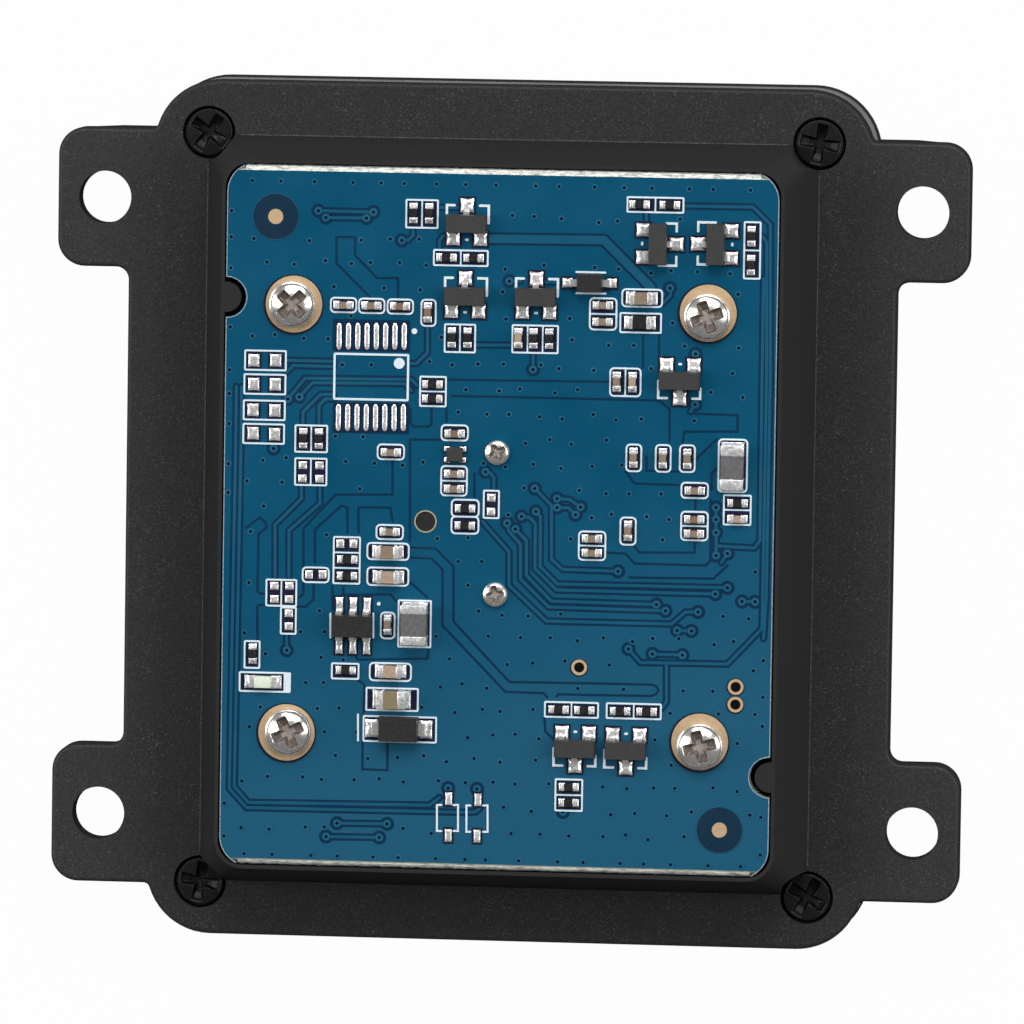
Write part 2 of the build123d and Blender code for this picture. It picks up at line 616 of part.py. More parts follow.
def diode_leads(size, width):
    """One lead at each end of a two-lead package."""
    turned = (size[1], size[0], size[2])
    leads = both_rows(turned, 0, DIODE_REACH, width, (0,))
    return [Rot(0, 0, 90) * lead for lead in leads]


def chip(size):
    """Small two-ended chip part along X, whose plated ends stand slightly proud."""
    length, width, height = size
    end = length * END_CAP_SHARE
    body = block((length - 2 * END_CAP_PROUD, width, height), 0)
    for sign in (-1, 1):
        cap = (end, width + 2 * END_CAP_PROUD, height + END_CAP_PROUD)
        body += block(cap, 0, (sign * (length - end) / 2, 0))
    return body


def chips(size, along_x, along_y):
    """Chip parts at their places, some along X and some along Y."""
    flat = spread(chip(size), along_x)
    return flat + spread(chip(size), [(x, y, 90) for x, y in along_y])


def funnel_centres():
    """Centres of the four light funnels."""
    return corners(2 * FUNNEL_X, 2 * FUNNEL_Y)


def funnel(grow, low, high):
    """Tapered passage between the window side and a lamp, enlarged all round by grow."""
    front = Pos(0, 0, low) * Rectangle(FUNNEL_FRONT[0] + 2 * grow, FUNNEL_FRONT[1] + 2 * grow)
    rear = Pos(0, 0, high) * Rectangle(FUNNEL_REAR[0] + 2 * grow, FUNNEL_REAR[1] + 2 * grow)
    return loft([front, rear])


def plate_outline(inset, level):
    """Outline of the inner frame inside the shell's wall."""
    gap = SHELL_WALL + PLATE_GAP + inset
    return rounded(BODY_WIDTH - 2 * gap, BODY_HEIGHT - 2 * gap, BODY_CORNER - gap / 2, level)


def reflector_frame():
    """Inner frame with four light funnels, the hood round the lens and the aiming tube."""
    low = LEDGE_REAR
    top = low + PLATE_THICKNESS
    rear = BOARD_FRONT - LED_SIZE[2] - FUNNEL_GAP
    frame = prism(plate_outline(0, low), SHELL_DEPTH - low)
    frame -= prism(plate_outline(PLATE_RIB, top), SHELL_DEPTH - top)
    for place in corners(FRAME_SCREW_PITCH_X, FRAME_SCREW_PITCH_Y):
        frame -= rod(SHELL_BOSS + 2 * PLATE_GAP, low, SHELL_DEPTH, place)
    hood = Pos(*LENS_CENTRE, low + HOOD_DEPTH / 2)
    frame += hood * Cone(HOOD_FRONT / 2 + FUNNEL_WALL, HOOD_REAR / 2 + FUNNEL_WALL, HOOD_DEPTH)
    aim = (AIMING_X, LENS_CENTRE[1])
    frame += rod(AIMING_TUBE + 2 * FUNNEL_WALL, low, low + AIMING_TUBE_DEPTH, aim)
    for x, y in funnel_centres():
        frame += Pos(x, y, 0) * funnel(FUNNEL_WALL, low, rear)
    frame -= hood * Cone(HOOD_FRONT / 2, HOOD_REAR / 2, HOOD_DEPTH)
    lens_seat = low + AIMING_LENS_FLANGE
    frame -= rod(AIMING_TUBE - 2 * DIFFUSER_LIP, low, low + AIMING_TUBE_DEPTH, aim)
    frame -= rod(AIMING_TUBE, low, lens_seat, aim)
    rebate = DIFFUSER_LIP + DIFFUSER_GAP
    size = (FUNNEL_FRONT[0] + 2 * rebate, FUNNEL_FRONT[1] + 2 * rebate, DIFFUSER_THICKNESS)
    for x, y in funnel_centres():
        frame -= Pos(x, y, 0) * funnel(0, low, rear)
        frame -= block(size, low, (x, y))
    return frame - cable_slot()


def led_diffusers():
    """Frosted plates in the front of the light funnels."""
    size = (FUNNEL_FRONT[0] + 2 * DIFFUSER_LIP, FUNNEL_FRONT[1] + 2 * DIFFUSER_LIP, DIFFUSER_THICKNESS)
    return [block(size, LEDGE_REAR, place) for place in funnel_centres()]


def aiming_lens():
    """Small lens in the front of the aiming tube, domed towards the lamp."""
    diameter = AIMING_TUBE - 2 * PILOT_GAP
    dome = AIMING_TUBE - 2 * DIFFUSER_LIP - 2 * DIFFUSER_GAP
    flange = rod(diameter, 0, AIMING_LENS_FLANGE)
    crown = Rot(180, 0, 0) * domed_lens(dome, DIFFUSER_GAP, AIMING_LENS_CROWN)
    return Pos(AIMING_X, LENS_CENTRE[1], LEDGE_REAR) * (flange + Pos(0, 0, AIMING_LENS_FLANGE) * crown)


def lamp_body(size):
    """White lamp package with a round cup in its face, standing on z = 0."""
    depth = size[2] * LAMP_CUP_DEPTH
    mouth = size[1] * LAMP_CUP_MOUTH
    cup = Pos(0, 0, size[2] - depth / 2) * Cone(mouth * LAMP_CUP_FLOOR, mouth, depth)
    return block(size, 0) - cup


def illumination_leds():
    """Four lamps, one behind each light funnel."""
    lamp = lamp_body(LED_SIZE)
    return [Pos(x, y, BOARD_FRONT) * Rot(180, 0, 0) * lamp for x, y in funnel_centres()]


def aiming_led():
    """Aiming lamp: a thin base with a narrower clear block on it."""
    width, length, height = AIMING_LED_SIZE
    lamp = block((width, length, height / 3), 0) + block((width, length / 2, height), 0)
    return Pos(AIMING_X, LENS_CENTRE[1], BOARD_FRONT) * Rot(180, 0, 0) * lamp


def buzzer():
    """Round sounder with a blind sound hole."""
    can = rod(BUZZER_DIAMETER, 0, BUZZER_HEIGHT) - rod(BUZZER_HOLE, BUZZER_HEIGHT / 2, BUZZER_HEIGHT)
    return on_front(can, BUZZER_PLACE)


def pin_bars():
    """Straight pins that pass through the connector's rear wall, with feet on the board."""
    width, depth, height = CONNECTOR_SIZE
    inner = depth / 2 - CONNECTOR_WALL
    bar = (PIN_WIDTH, inner + depth / 2, PIN_WIDTH)
    level = height / 2 - PIN_WIDTH / 2
    pins = []
    for i in range(PIN_COUNT):
        x = (i - (PIN_COUNT - 1) / 2) * PIN_PITCH
        pin = block(bar, level, (x, (depth / 2 - inner) / 2 + PIN_WIDTH / 2))
        foot = block((PIN_WIDTH, PIN_WIDTH, level + PIN_WIDTH), 0, (x, depth / 2 + PIN_WIDTH / 2))
        pins.append(pin + foot)
    return pins


def cable_connector():
    """Connector body with an open mouth towards the lower edge of the board."""
    width, depth, height = CONNECTOR_SIZE
    wall = CONNECTOR_WALL
    mouth = (width - 2 * wall, depth - wall, height - 2 * wall)
    body = block(CONNECTOR_SIZE, 0) - block(mouth, wall, (0, -wall / 2))
    for pin in pin_bars():
        body -= pin
    return body


def on_connector(shape):
    """A connector piece on the hidden side, its mouth towards the lower edge of the board."""
    return Pos(0, CONNECTOR_Y + BOARD_SHIFT_Y, BOARD_FRONT) * Rot(0, 180, 0) * shape


def memory_leads():
    """Leads of the memory chip, four along each long side."""
    offsets = [(i - 1.5) * MEMORY_PITCH for i in range(4)]
    return both_rows(MEMORY_SIZE, MOULD_STANDOFF, LEAD_REACH, LEAD_WIDTH, offsets)


def regulator_leads():
    """Three leads along each long side of the regulator."""
    offsets = (-REGULATOR_PITCH, 0, REGULATOR_PITCH)
    return both_rows(REGULATOR_SIZE, MOULD_STANDOFF, LEAD_REACH, LEAD_WIDTH, offsets)


def seated(shapes, place):
    """All pieces of one small part at its place on the visible side."""
    return [copy for shape in shapes for copy in spread(shape, [place])]


def housing_nodes():
    """Shells, window and the screws that hold them."""
    save("front_shell", front_shell())
    save("window", window())
    save("window_tape", window_tape())
    save("rear_frame", rear_frame())
    save("frame_screws", frame_screws())


def camera_nodes():
    """Board, camera and lights."""
    save("circuit_board", circuit_board())
    save("board_screws", board_screws())
    save("lens_holder", lens_holder())
    save("lens_holder_screws", lens_holder_screws())
    save("lens_barrel", lens_barrel())
    save("lens_glass", lens_glass())
    save("image_sensor", on_lens_axis(chip_package(SENSOR_SIZE, EDGE_ROUND)))
    save("reflector_frame", reflector_frame())
    save("led_diffusers", led_diffusers())
    save("illumination_leds", illumination_leds())
    save("aiming_led", aiming_led())
    save("aiming_lens", aiming_lens())


def hidden_side_nodes():
    """Larger parts on the side of the board that faces the window."""
    save("processor_chip", on_front(chip_package(PROCESSOR_SIZE, EDGE_ROUND / 2), PROCESSOR_PLACE))
    save("memory_chip", on_front(moulded_body(MEMORY_SIZE, MOULD_STANDOFF), MEMORY_PLACE))
    save("memory_chip_leads", [on_front(lead, MEMORY_PLACE) for lead in memory_leads()])
    save("clock_crystal", on_front(chip_package(CRYSTAL_SIZE, EDGE_ROUND / 2), CRYSTAL_PLACE))
    save("buzzer", buzzer())
    save("cable_connector", on_connector(cable_connector()))
    save("connector_pins", [on_connector(pin) for pin in pin_bars()])


def visible_side_nodes():
    """Small parts on the side of the board that the photo shows."""
    save("small_resistors", chips(RESISTOR_SIZE, RESISTORS_ALONG_X, RESISTORS_ALONG_Y))
    save("small_capacitors", chips(CAPACITOR_SIZE, CAPACITORS_ALONG_X, CAPACITORS_ALONG_Y))
    save("large_capacitors", spread(chip(LARGE_CAPACITOR_SIZE), LARGE_CAPACITORS))
    save("bulk_capacitor", spread(chip(BULK_CAPACITOR_SIZE), [BULK_CAPACITOR]))
    save("large_resistor", spread(chip(LARGE_RESISTOR_SIZE), [LARGE_RESISTOR]))
    save("input_fuse", spread(chip(FUSE_SIZE), [(*FUSE_PLACE, 90)]))
    save("power_inductor", spread(chip(INDUCTOR_SIZE), [(*INDUCTOR_PLACE, 90)]))
    save("indicator_lamp", spread(chip(LAMP_SIZE), [LAMP_PLACE]))
    save("sensor_chip", spread(chip_package(SENSOR_CHIP_SIZE, EDGE_ROUND / 4), [SENSOR_CHIP_PLACE]))
    save("transistor_bodies", spread(moulded_body(TRANSISTOR_SIZE, MOULD_STANDOFF), TRANSISTORS))
    leads = transistor_leads()
    save("transistor_leads", [copy for lead in leads for copy in spread(lead, TRANSISTORS)])
    save("regulator_body", spread(moulded_body(REGULATOR_SIZE, MOULD_STANDOFF), [REGULATOR_PLACE]))
    save("regulator_leads", seated(regulator_leads(), REGULATOR_PLACE))
    save("small_diode_body", spread(moulded_body(SMALL_DIODE_SIZE, 0), [SMALL_DIODE_PLACE]))
    save("small_diode_leads", seated(diode_leads(SMALL_DIODE_SIZE, SMALL_DIODE_LEAD), SMALL_DIODE_PLACE))
    save("large_diode_body", spread(moulded_body(LARGE_DIODE_SIZE, 0), [LARGE_DIODE_PLACE]))
    save("large_diode_leads", seated(diode_leads(LARGE_DIODE_SIZE, LARGE_DIODE_LEAD), LARGE_DIODE_PLACE))


os.makedirs("parts", exist_ok=True)
housing_nodes()
camera_nodes()
hidden_side_nodes()
visible_side_nodes()
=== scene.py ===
import bpy
import bmesh
import math
import random
from mathutils import Matrix, Vector, noise


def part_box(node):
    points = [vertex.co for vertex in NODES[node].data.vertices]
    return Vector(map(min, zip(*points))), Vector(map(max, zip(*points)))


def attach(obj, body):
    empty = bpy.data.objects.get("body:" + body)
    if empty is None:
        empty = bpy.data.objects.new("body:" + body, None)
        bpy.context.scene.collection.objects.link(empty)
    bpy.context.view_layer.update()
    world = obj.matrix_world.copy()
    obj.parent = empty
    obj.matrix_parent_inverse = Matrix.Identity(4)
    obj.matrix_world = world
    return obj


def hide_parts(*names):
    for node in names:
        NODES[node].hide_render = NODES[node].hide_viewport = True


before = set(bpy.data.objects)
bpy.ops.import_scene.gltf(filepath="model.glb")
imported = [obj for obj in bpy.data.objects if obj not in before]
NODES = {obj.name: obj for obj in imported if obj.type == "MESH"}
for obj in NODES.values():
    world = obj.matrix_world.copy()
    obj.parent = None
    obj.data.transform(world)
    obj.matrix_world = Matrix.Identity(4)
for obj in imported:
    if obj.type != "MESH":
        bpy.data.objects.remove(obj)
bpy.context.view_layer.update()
MM = 0.001

# The board's rear face, middle and half sizes, and the flange's rear face, all in millimetres
board_low, board_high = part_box("circuit_board")
TOP = board_high.z / MM
SHIFT_Y = (board_low.y + board_high.y) / 2 / MM
HALF_X, HALF_Y = 19.25, 24.45
FLANGE_THICKNESS = 2.0
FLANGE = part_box("front_shell")[1].z / MM + FLANGE_THICKNESS
# Heights of the flat layers above the board's rear face
GAP_LEVEL = 0.002
TRACE_LEVEL = 0.022
RING_LEVEL = 0.036
HOLE_LEVEL = 0.042
CLEAR_LEVEL = 0.046
DISC_LEVEL = CLEAR_LEVEL + 0.005
SILK_LEVEL = 0.068
PAD_LEVEL = 0.066
GOLD_LEVEL = PAD_LEVEL + 0.01
# Step between two flat shapes of one layer, steps before it starts again, and depth below the level
LEVEL_STEP = 0.00011
LAYER_STEPS = 170
HOLE_STEPS = 30
SUNK = 0.1
SHARP_ANGLE = math.radians(38)

SOLDER_SEED = 7
HOLE_SEED = 11
random.seed(SOLDER_SEED)


# Materials

class Look:
    """A node material built step by step."""

    def __init__(self, name, color=(0.5, 0.5, 0.5), rough=0.5, metal=0.0, **more):
        self.mat = bpy.data.materials.new(name)
        self.mat.use_nodes = True
        self.tree = self.mat.node_tree
        self.bsdf = self.tree.nodes["Principled BSDF"]
        self.set("Base Color", (*color, 1.0))
        self.set("Roughness", rough)
        self.set("Metallic", metal)
        for key, value in more.items():
            self.set(key.replace("_", " ").title().replace("Ior", "IOR"), value)
        self.coord = self.tree.nodes.new("ShaderNodeTexCoord")

    def set(self, socket, value):
        self.bsdf.inputs[socket].default_value = value

    def node(self, kind, **inputs):
        made = self.tree.nodes.new("ShaderNode" + kind)
        for key, value in inputs.items():
            name = key.replace("_", " ")
            if name in made.inputs:
                made.inputs[name].default_value = value
            else:
                setattr(made, key, value)
        return made

    def link(self, source, target):
        self.tree.links.new(source, target)

    def noise(self, size, detail=3.0, roughness=0.55, stretch=None):
        """Noise whose features are about size millimetres across."""
        made = self.node("TexNoise", Scale=1.0 / (size * MM), Detail=detail, Roughness=roughness)
        source = self.coord.outputs["Object"]
        if stretch:
            mapping = self.node("Mapping", Scale=stretch)
            self.link(source, mapping.inputs["Vector"])
            source = mapping.outputs["Vector"]
        self.link(source, made.inputs["Vector"])
        return made.outputs["Fac"]

    def ramp(self, source, low, high, a=0.0, b=1.0):
        """Source between low and high, spread over a to b."""
        made = self.node("MapRange")
        for name, value in (("From Min", low), ("From Max", high), ("To Min", a), ("To Max", b)):
            made.inputs[name].default_value = value
        self.link(source, made.inputs["Value"])
        return made.outputs["Result"]

    def math(self, operation, a, b=0.0):
        made = self.node("Math", operation=operation)
        for socket, value in zip(made.inputs, (a, b)):
            if isinstance(value, (int, float)):
                socket.default_value = value
            else:
                self.link(value, socket)
        return made.outputs["Value"]

    def blend(self, factor, first, second):
        """Colour between first and second, each a colour or a socket."""
        made = self.node("Mix", data_type="RGBA")
        self.link(factor, made.inputs["Factor"])
        for index, value in ((6, first), (7, second)):
            if isinstance(value, tuple):
                made.inputs[index].default_value = (*value, 1.0)
            else:
                self.link(value, made.inputs[index])
        return made.outputs[2]

    def color(self, source):
        self.link(source, self.bsdf.inputs["Base Color"])

    def rough(self, source):
        self.link(source, self.bsdf.inputs["Roughness"])

    def bump(self, height, depth, strength=1.0):
        """Surface relief of depth millimetres."""
        made = self.node("Bump", Strength=strength, Distance=depth * MM)
        self.link(height, made.inputs["Height"])
        before = self.bsdf.inputs["Normal"].links
        if before:
            self.link(before[0].from_socket, made.inputs["Normal"])
        self.link(made.outputs["Normal"], self.bsdf.inputs["Normal"])

    def place(self, axis):
        """Position along an axis in millimetres."""
        split = self.node("SeparateXYZ")
        self.link(self.coord.outputs["Object"], split.inputs["Vector"])
        return self.math("DIVIDE", split.outputs[axis], MM)

    def facing(self, low, high):
        """1 on faces that look up or down, 0 on upright ones."""
        split = self.node("SeparateXYZ")
        self.link(self.coord.outputs["Normal"], split.inputs["Vector"])
        return self.ramp(self.math("ABSOLUTE", split.outputs["Z"]), low, high)


# The black plastic's dark and pale grain on the flange, the lighter grain of its ears, which is painted light
# where the raised housing shades them less, its walls, and its sparkle of painted glints
FLANGE_TONES = (0.015, 0.015, 0.0155), (0.033, 0.033, 0.0335)
LIT_EAR_TONES = (0.021, 0.021, 0.0215), (0.043, 0.043, 0.0435)
WALL_TONE = (0.029, 0.029, 0.03)
GLINT_TONE = (0.09, 0.09, 0.093)
LIT_EARS_FROM, LIT_EARS_TO = 24.0, 28.5


def black_plastic(name, grain):
    """Black moulded plastic: fine spark-eroded grain on the flange with painted glints as its sparkle, smooth
    raised walls.
    """
    look = Look(name, (0.021, 0.021, 0.022), 0.5, specular_ior_level=0.15)
    fine = look.noise(0.13, 3.0, 0.7)
    grains = look.ramp(fine, 0.32, 0.7)
    tone = look.blend(grains, *FLANGE_TONES)
    if not grain:
        look.color(tone)
        look.rough(look.ramp(look.noise(2.4, 2.0), 0.3, 0.7, 0.4, 0.5))
        look.bump(fine, 0.002, 0.4)
        return look.mat
    low = look.ramp(look.place("Z"), FLANGE + 0.1, FLANGE + 0.3, 1.0, 0.0)
    flat = look.math("MULTIPLY", low, look.facing(0.7, 0.9))
    # Painted light: the grain turns lighter out towards the ears, which the raised housing shades less
    outer = look.ramp(look.math("ABSOLUTE", look.place("X")), LIT_EARS_FROM, LIT_EARS_TO)
    ears = look.blend(grains, *LIT_EAR_TONES)
    tone = look.blend(outer, tone, ears)
    cluster = look.ramp(look.noise(2.2, 2.0), 0.35, 0.65, 0.3, 1.0)
    # Painted glints: pale specks in the flat faces' colour that stand for the grain's sparkle
    spark = look.math("MULTIPLY", look.ramp(look.noise(0.11, 1.0, 0.4), 0.62, 0.76), cluster)
    shade = look.blend(flat, WALL_TONE, tone)
    look.color(look.blend(look.math("MULTIPLY", spark, flat), shade, GLINT_TONE))
    look.link(look.ramp(flat, 0.0, 1.0, 0.0, 0.2), look.bsdf.inputs["Specular IOR Level"])
    look.rough(look.ramp(flat, 0.0, 1.0, 0.42, 0.48))
    look.bump(look.math("MULTIPLY", fine, look.ramp(flat, 0.0, 1.0, 0.15, 1.0)), 0.014, 0.9)
    return look.mat


# The blue mask's light and deep tone, and a paler tone towards the lower right that is a painted sheen
MASK_LIGHT = (0.001, 0.076, 0.149)
MASK_DEEP = (0.0002, 0.067, 0.134)
MASK_SHEEN = (0.0115, 0.091, 0.164)


def solder_mask(name, tint, deep):
    """Glossy blue mask with a faint cloudy tone."""
    look = Look(name, tint, 0.34, specular_ior_level=0.22)
    cloud = look.noise(5.0, 3.0, 0.6)
    look.color(look.blend(look.ramp(cloud, 0.3, 0.7), deep, tint))
    look.rough(look.ramp(cloud, 0.3, 0.7, 0.3, 0.38))
    look.bump(look.noise(0.3, 2.0), 0.002, 0.3)
    return look


def board_finish():
    """Mask on the faces, paler towards the lower right as a painted sheen, and pale glass laminate on the cut
    edges.
    """
    look = solder_mask("board_mask", MASK_LIGHT, MASK_DEEP)
    mask = look.bsdf.inputs["Base Color"].links[0].from_socket
    # Painted sheen: the mask is blended towards a paler, greyer tone towards the lower right
    aside = look.math("MULTIPLY", look.place("X"), 0.25)
    pale = look.ramp(look.math("SUBTRACT", aside, look.place("Y")), 0.0, 16.0)
    mask = look.blend(pale, mask, MASK_SHEEN)
    fibre = look.noise(0.12, 3.0, 0.6, (1.0, 1.0, 6.0))
    edge = look.blend(look.ramp(fibre, 0.3, 0.7), (0.3, 0.33, 0.27), (0.62, 0.62, 0.52))
    look.color(look.blend(look.facing(0.93, 0.97), edge, mask))
    return look.mat


def score_finish():
    """Snapped edge of the board: pale broken glass fibre."""
    look = Look("snapped_edge", (0.66, 0.66, 0.6), 0.6)
    fibre = look.noise(0.16, 4.0, 0.75, (0.22, 1.0, 1.0))
    look.color(look.blend(look.ramp(fibre, 0.36, 0.56), (0.24, 0.27, 0.25), (0.86, 0.86, 0.8)))
    look.bump(fibre, 0.05, 0.8)
    return look.mat


def solder():
    """Bright tin with grey patches."""
    look = Look("solder", (0.8, 0.79, 0.8), 0.25, 0.62)
    lumps = look.noise(0.3, 2.0, 0.5)
    spots = look.noise(0.14, 2.0, 0.6)
    look.color(look.blend(look.ramp(spots, 0.48, 0.72), (0.97, 0.96, 0.96), (0.46, 0.43, 0.41)))
    look.rough(look.ramp(lumps, 0.35, 0.7, 0.18, 0.42))
    look.bump(lumps, 0.03, 0.8)
    return look.mat


def mottled(name, first, second, rough, size=0.4, depth=0.004, metal=0.0, specular=0.5, **more):
    """General finish: two close tones in patches of a size, with relief of a depth, both in millimetres."""
    look = Look(name, first, rough, metal, specular_ior_level=specular, **more)
    patches = look.noise(size, 3.0, 0.6)
    look.color(look.blend(look.ramp(patches, 0.35, 0.65), first, second))
    look.rough(look.ramp(patches, 0.3, 0.7, rough * 0.85, min(1.0, rough * 1.15)))
    look.bump(patches, depth, 0.6)
    return look.mat


def clear(name, tint, rough=0.02, ior=1.49):
    """Clear plastic or glass."""
    look = Look(name, tint, rough, 0.0)
    look.set("Transmission Weight", 1.0)
    look.set("IOR", ior)
    look.rough(look.ramp(look.noise(6.0, 2.0), 0.3, 0.7, rough, rough + 0.02))
    return look.mat


# Looks of two tones: the two colours, roughness, size and depth of the patches, metal, and specular level
MOTTLED = {
    "black_screw": ((0.008, 0.008, 0.009), (0.016, 0.016, 0.017), 0.3, 0.12, 0.004, 0.4),
    # Painted highlight: lighter black for the black screws' recess rims and head edges
    "black_edge_highlight": ((0.05, 0.05, 0.052), (0.12, 0.12, 0.125), 0.25, 0.1, 0.004, 0.4),
    # Painted shade: darker black for the black screws' recess floors
    "black_floor_shade": ((0.003, 0.003, 0.003), (0.02, 0.02, 0.02), 0.3, 0.12, 0.02, 0.4),
    "screw": ((0.86, 0.84, 0.81), (0.68, 0.64, 0.6), 0.2, 0.3, 0.01, 0.8),
    # Painted shade: darker, browner copy of the plated head for its recess walls and the groove round the
    # head
    "recess": ((0.3, 0.255, 0.225), (0.17, 0.14, 0.12), 0.35, 0.2, 0.02, 0.6),
    # Painted shade: the recess floor, paler than the walls but darker than the head
    "recess_floor_shade": ((0.66, 0.59, 0.54), (0.46, 0.39, 0.34), 0.35, 0.2, 0.03, 0.6),
    # Painted shade: near black for the black screws' recess walls and the test points' holes
    "pit_shade": ((0.002, 0.002, 0.003), (0.006, 0.006, 0.007), 0.32, 0.15, 0.02, 0.0, 0.16),
    "edge_line": ((0.16, 0.26, 0.33), (0.36, 0.44, 0.5), 0.5, 0.2, 0.01),
    # Painted highlight along the crease at the foot of the raised walls
    "crease_highlight": ((0.022, 0.022, 0.023), (0.1, 0.1, 0.105), 0.4, 0.12, 0.02),
    "bare": ((0.006, 0.007, 0.024), (0.012, 0.014, 0.036), 0.4, 0.2, 0.004, 0.0, 0.2),
    "silk": ((0.6, 0.72, 0.8), (0.74, 0.83, 0.88), 0.55, 0.12, 0.006),
    "gold": ((0.7, 0.5, 0.3), (0.58, 0.41, 0.24), 0.42, 0.4, 0.004, 0.35),
    "rim": ((0.5, 0.44, 0.3), (0.4, 0.35, 0.24), 0.4, 0.3, 0.004, 0.3),
    "hole": ((0.001, 0.004, 0.016), (0.002, 0.008, 0.028), 0.6, 0.4, 0.004, 0.0, 0.05),
    "moulded": ((0.036, 0.036, 0.036), (0.046, 0.046, 0.045), 0.5, 0.12, 0.006, 0.0, 0.3),
    "glossy": ((0.02, 0.02, 0.02), (0.032, 0.032, 0.031), 0.36, 0.12, 0.006, 0.0, 0.3),
    "resistor": ((0.014, 0.013, 0.013), (0.024, 0.022, 0.021), 0.3, 0.2, 0.003),
    "tan": ((0.27, 0.205, 0.145), (0.21, 0.155, 0.11), 0.45, 0.2, 0.005),
    "brown": ((0.23, 0.145, 0.1), (0.17, 0.105, 0.075), 0.45, 0.2, 0.005),
    "light": ((0.44, 0.33, 0.24), (0.34, 0.25, 0.18), 0.45, 0.2, 0.005),
    "olive": ((0.25, 0.205, 0.12), (0.2, 0.16, 0.095), 0.45, 0.2, 0.005),
    "ferrite": ((0.095, 0.095, 0.098), (0.14, 0.14, 0.145), 0.5, 0.25, 0.008),
    "white": ((0.72, 0.74, 0.7), (0.66, 0.68, 0.63), 0.35, 0.5, 0.002),
    "phosphor": ((0.78, 0.81, 0.72), (0.7, 0.77, 0.62), 0.2, 0.5, 0.002),
    "tin": ((0.9, 0.89, 0.88), (0.66, 0.64, 0.62), 0.26, 0.18, 0.01, 0.7),
    "cream": ((0.7, 0.62, 0.46), (0.66, 0.58, 0.42), 0.45, 0.5, 0.003),
    "brass": ((0.82, 0.62, 0.28), (0.74, 0.55, 0.24), 0.25, 0.3, 0.003, 1.0),
    "barrel": ((0.015, 0.015, 0.017), (0.022, 0.022, 0.024), 0.35, 0.3, 0.003, 0.7),
    "tape": ((0.02, 0.02, 0.02), (0.035, 0.035, 0.035), 0.9, 0.15, 0.03),
    "can": ((0.72, 0.7, 0.66), (0.62, 0.6, 0.56), 0.3, 0.4, 0.004, 1.0),
}
LOOKS = {
    "frame": black_plastic("black_shell", True),
    "shell": black_plastic("black_smooth", False),
    "board": board_finish(),
    "score": score_finish(),
    "gap": solder_mask("mask_gap", (0.003, 0.03, 0.074), (0.002, 0.024, 0.062)).mat,
    "trace": solder_mask("mask_trace", (0.009, 0.092, 0.164), (0.005, 0.08, 0.15)).mat,
    "disc": solder_mask("mask_disc", (0.008, 0.03, 0.06), (0.006, 0.026, 0.052)).mat,
    "solder": solder(),
    "via_ring": solder_mask("mask_via", (0.024, 0.126, 0.208), (0.012, 0.1, 0.178)).mat,
    "frost": mottled("frost", (0.8, 0.8, 0.77), (0.74, 0.74, 0.71), 0.6, 0.3, 0.01, subsurface_weight=0.1),
    "window": clear("clear_window", (0.95, 0.97, 0.98)),
    "lens": clear("coated_lens", (0.55, 0.62, 0.85), 0.01, 1.6),
}
LOOKS.update({name: mottled(name, *values) for name, values in MOTTLED.items()})

# Nodes that keep their own mesh, by look
PLAIN_NODES = {
    "frame": ["rear_frame"],
    "shell": ["front_shell", "reflector_frame", "lens_holder"],
    "window": ["window"],
    "tape": ["window_tape"],
    "board": ["circuit_board"],
    "barrel": ["lens_barrel"],
    "lens": ["lens_glass", "aiming_lens"],
    "frost": ["led_diffusers"],
    "white": ["illumination_leds", "aiming_led"],
    "moulded": ["image_sensor", "processor_chip", "memory_chip", "buzzer", "transistor_bodies",
        "sensor_chip"],
    "tin": ["memory_chip_leads", "transistor_leads", "regulator_leads", "small_diode_leads",
        "large_diode_leads"],
    "can": ["clock_crystal"],
    "cream": ["cable_connector"],
    "brass": ["connector_pins"],
    "glossy": ["regulator_body", "small_diode_body", "large_diode_body"],
}


def paint_nodes():
    """Give the nodes that keep their mesh their looks."""
    for look, names in PLAIN_NODES.items():
        for name in names:
            slots = NODES[name].data.materials
            slots.clear()
            slots.append(LOOKS[look])


# Mesh building

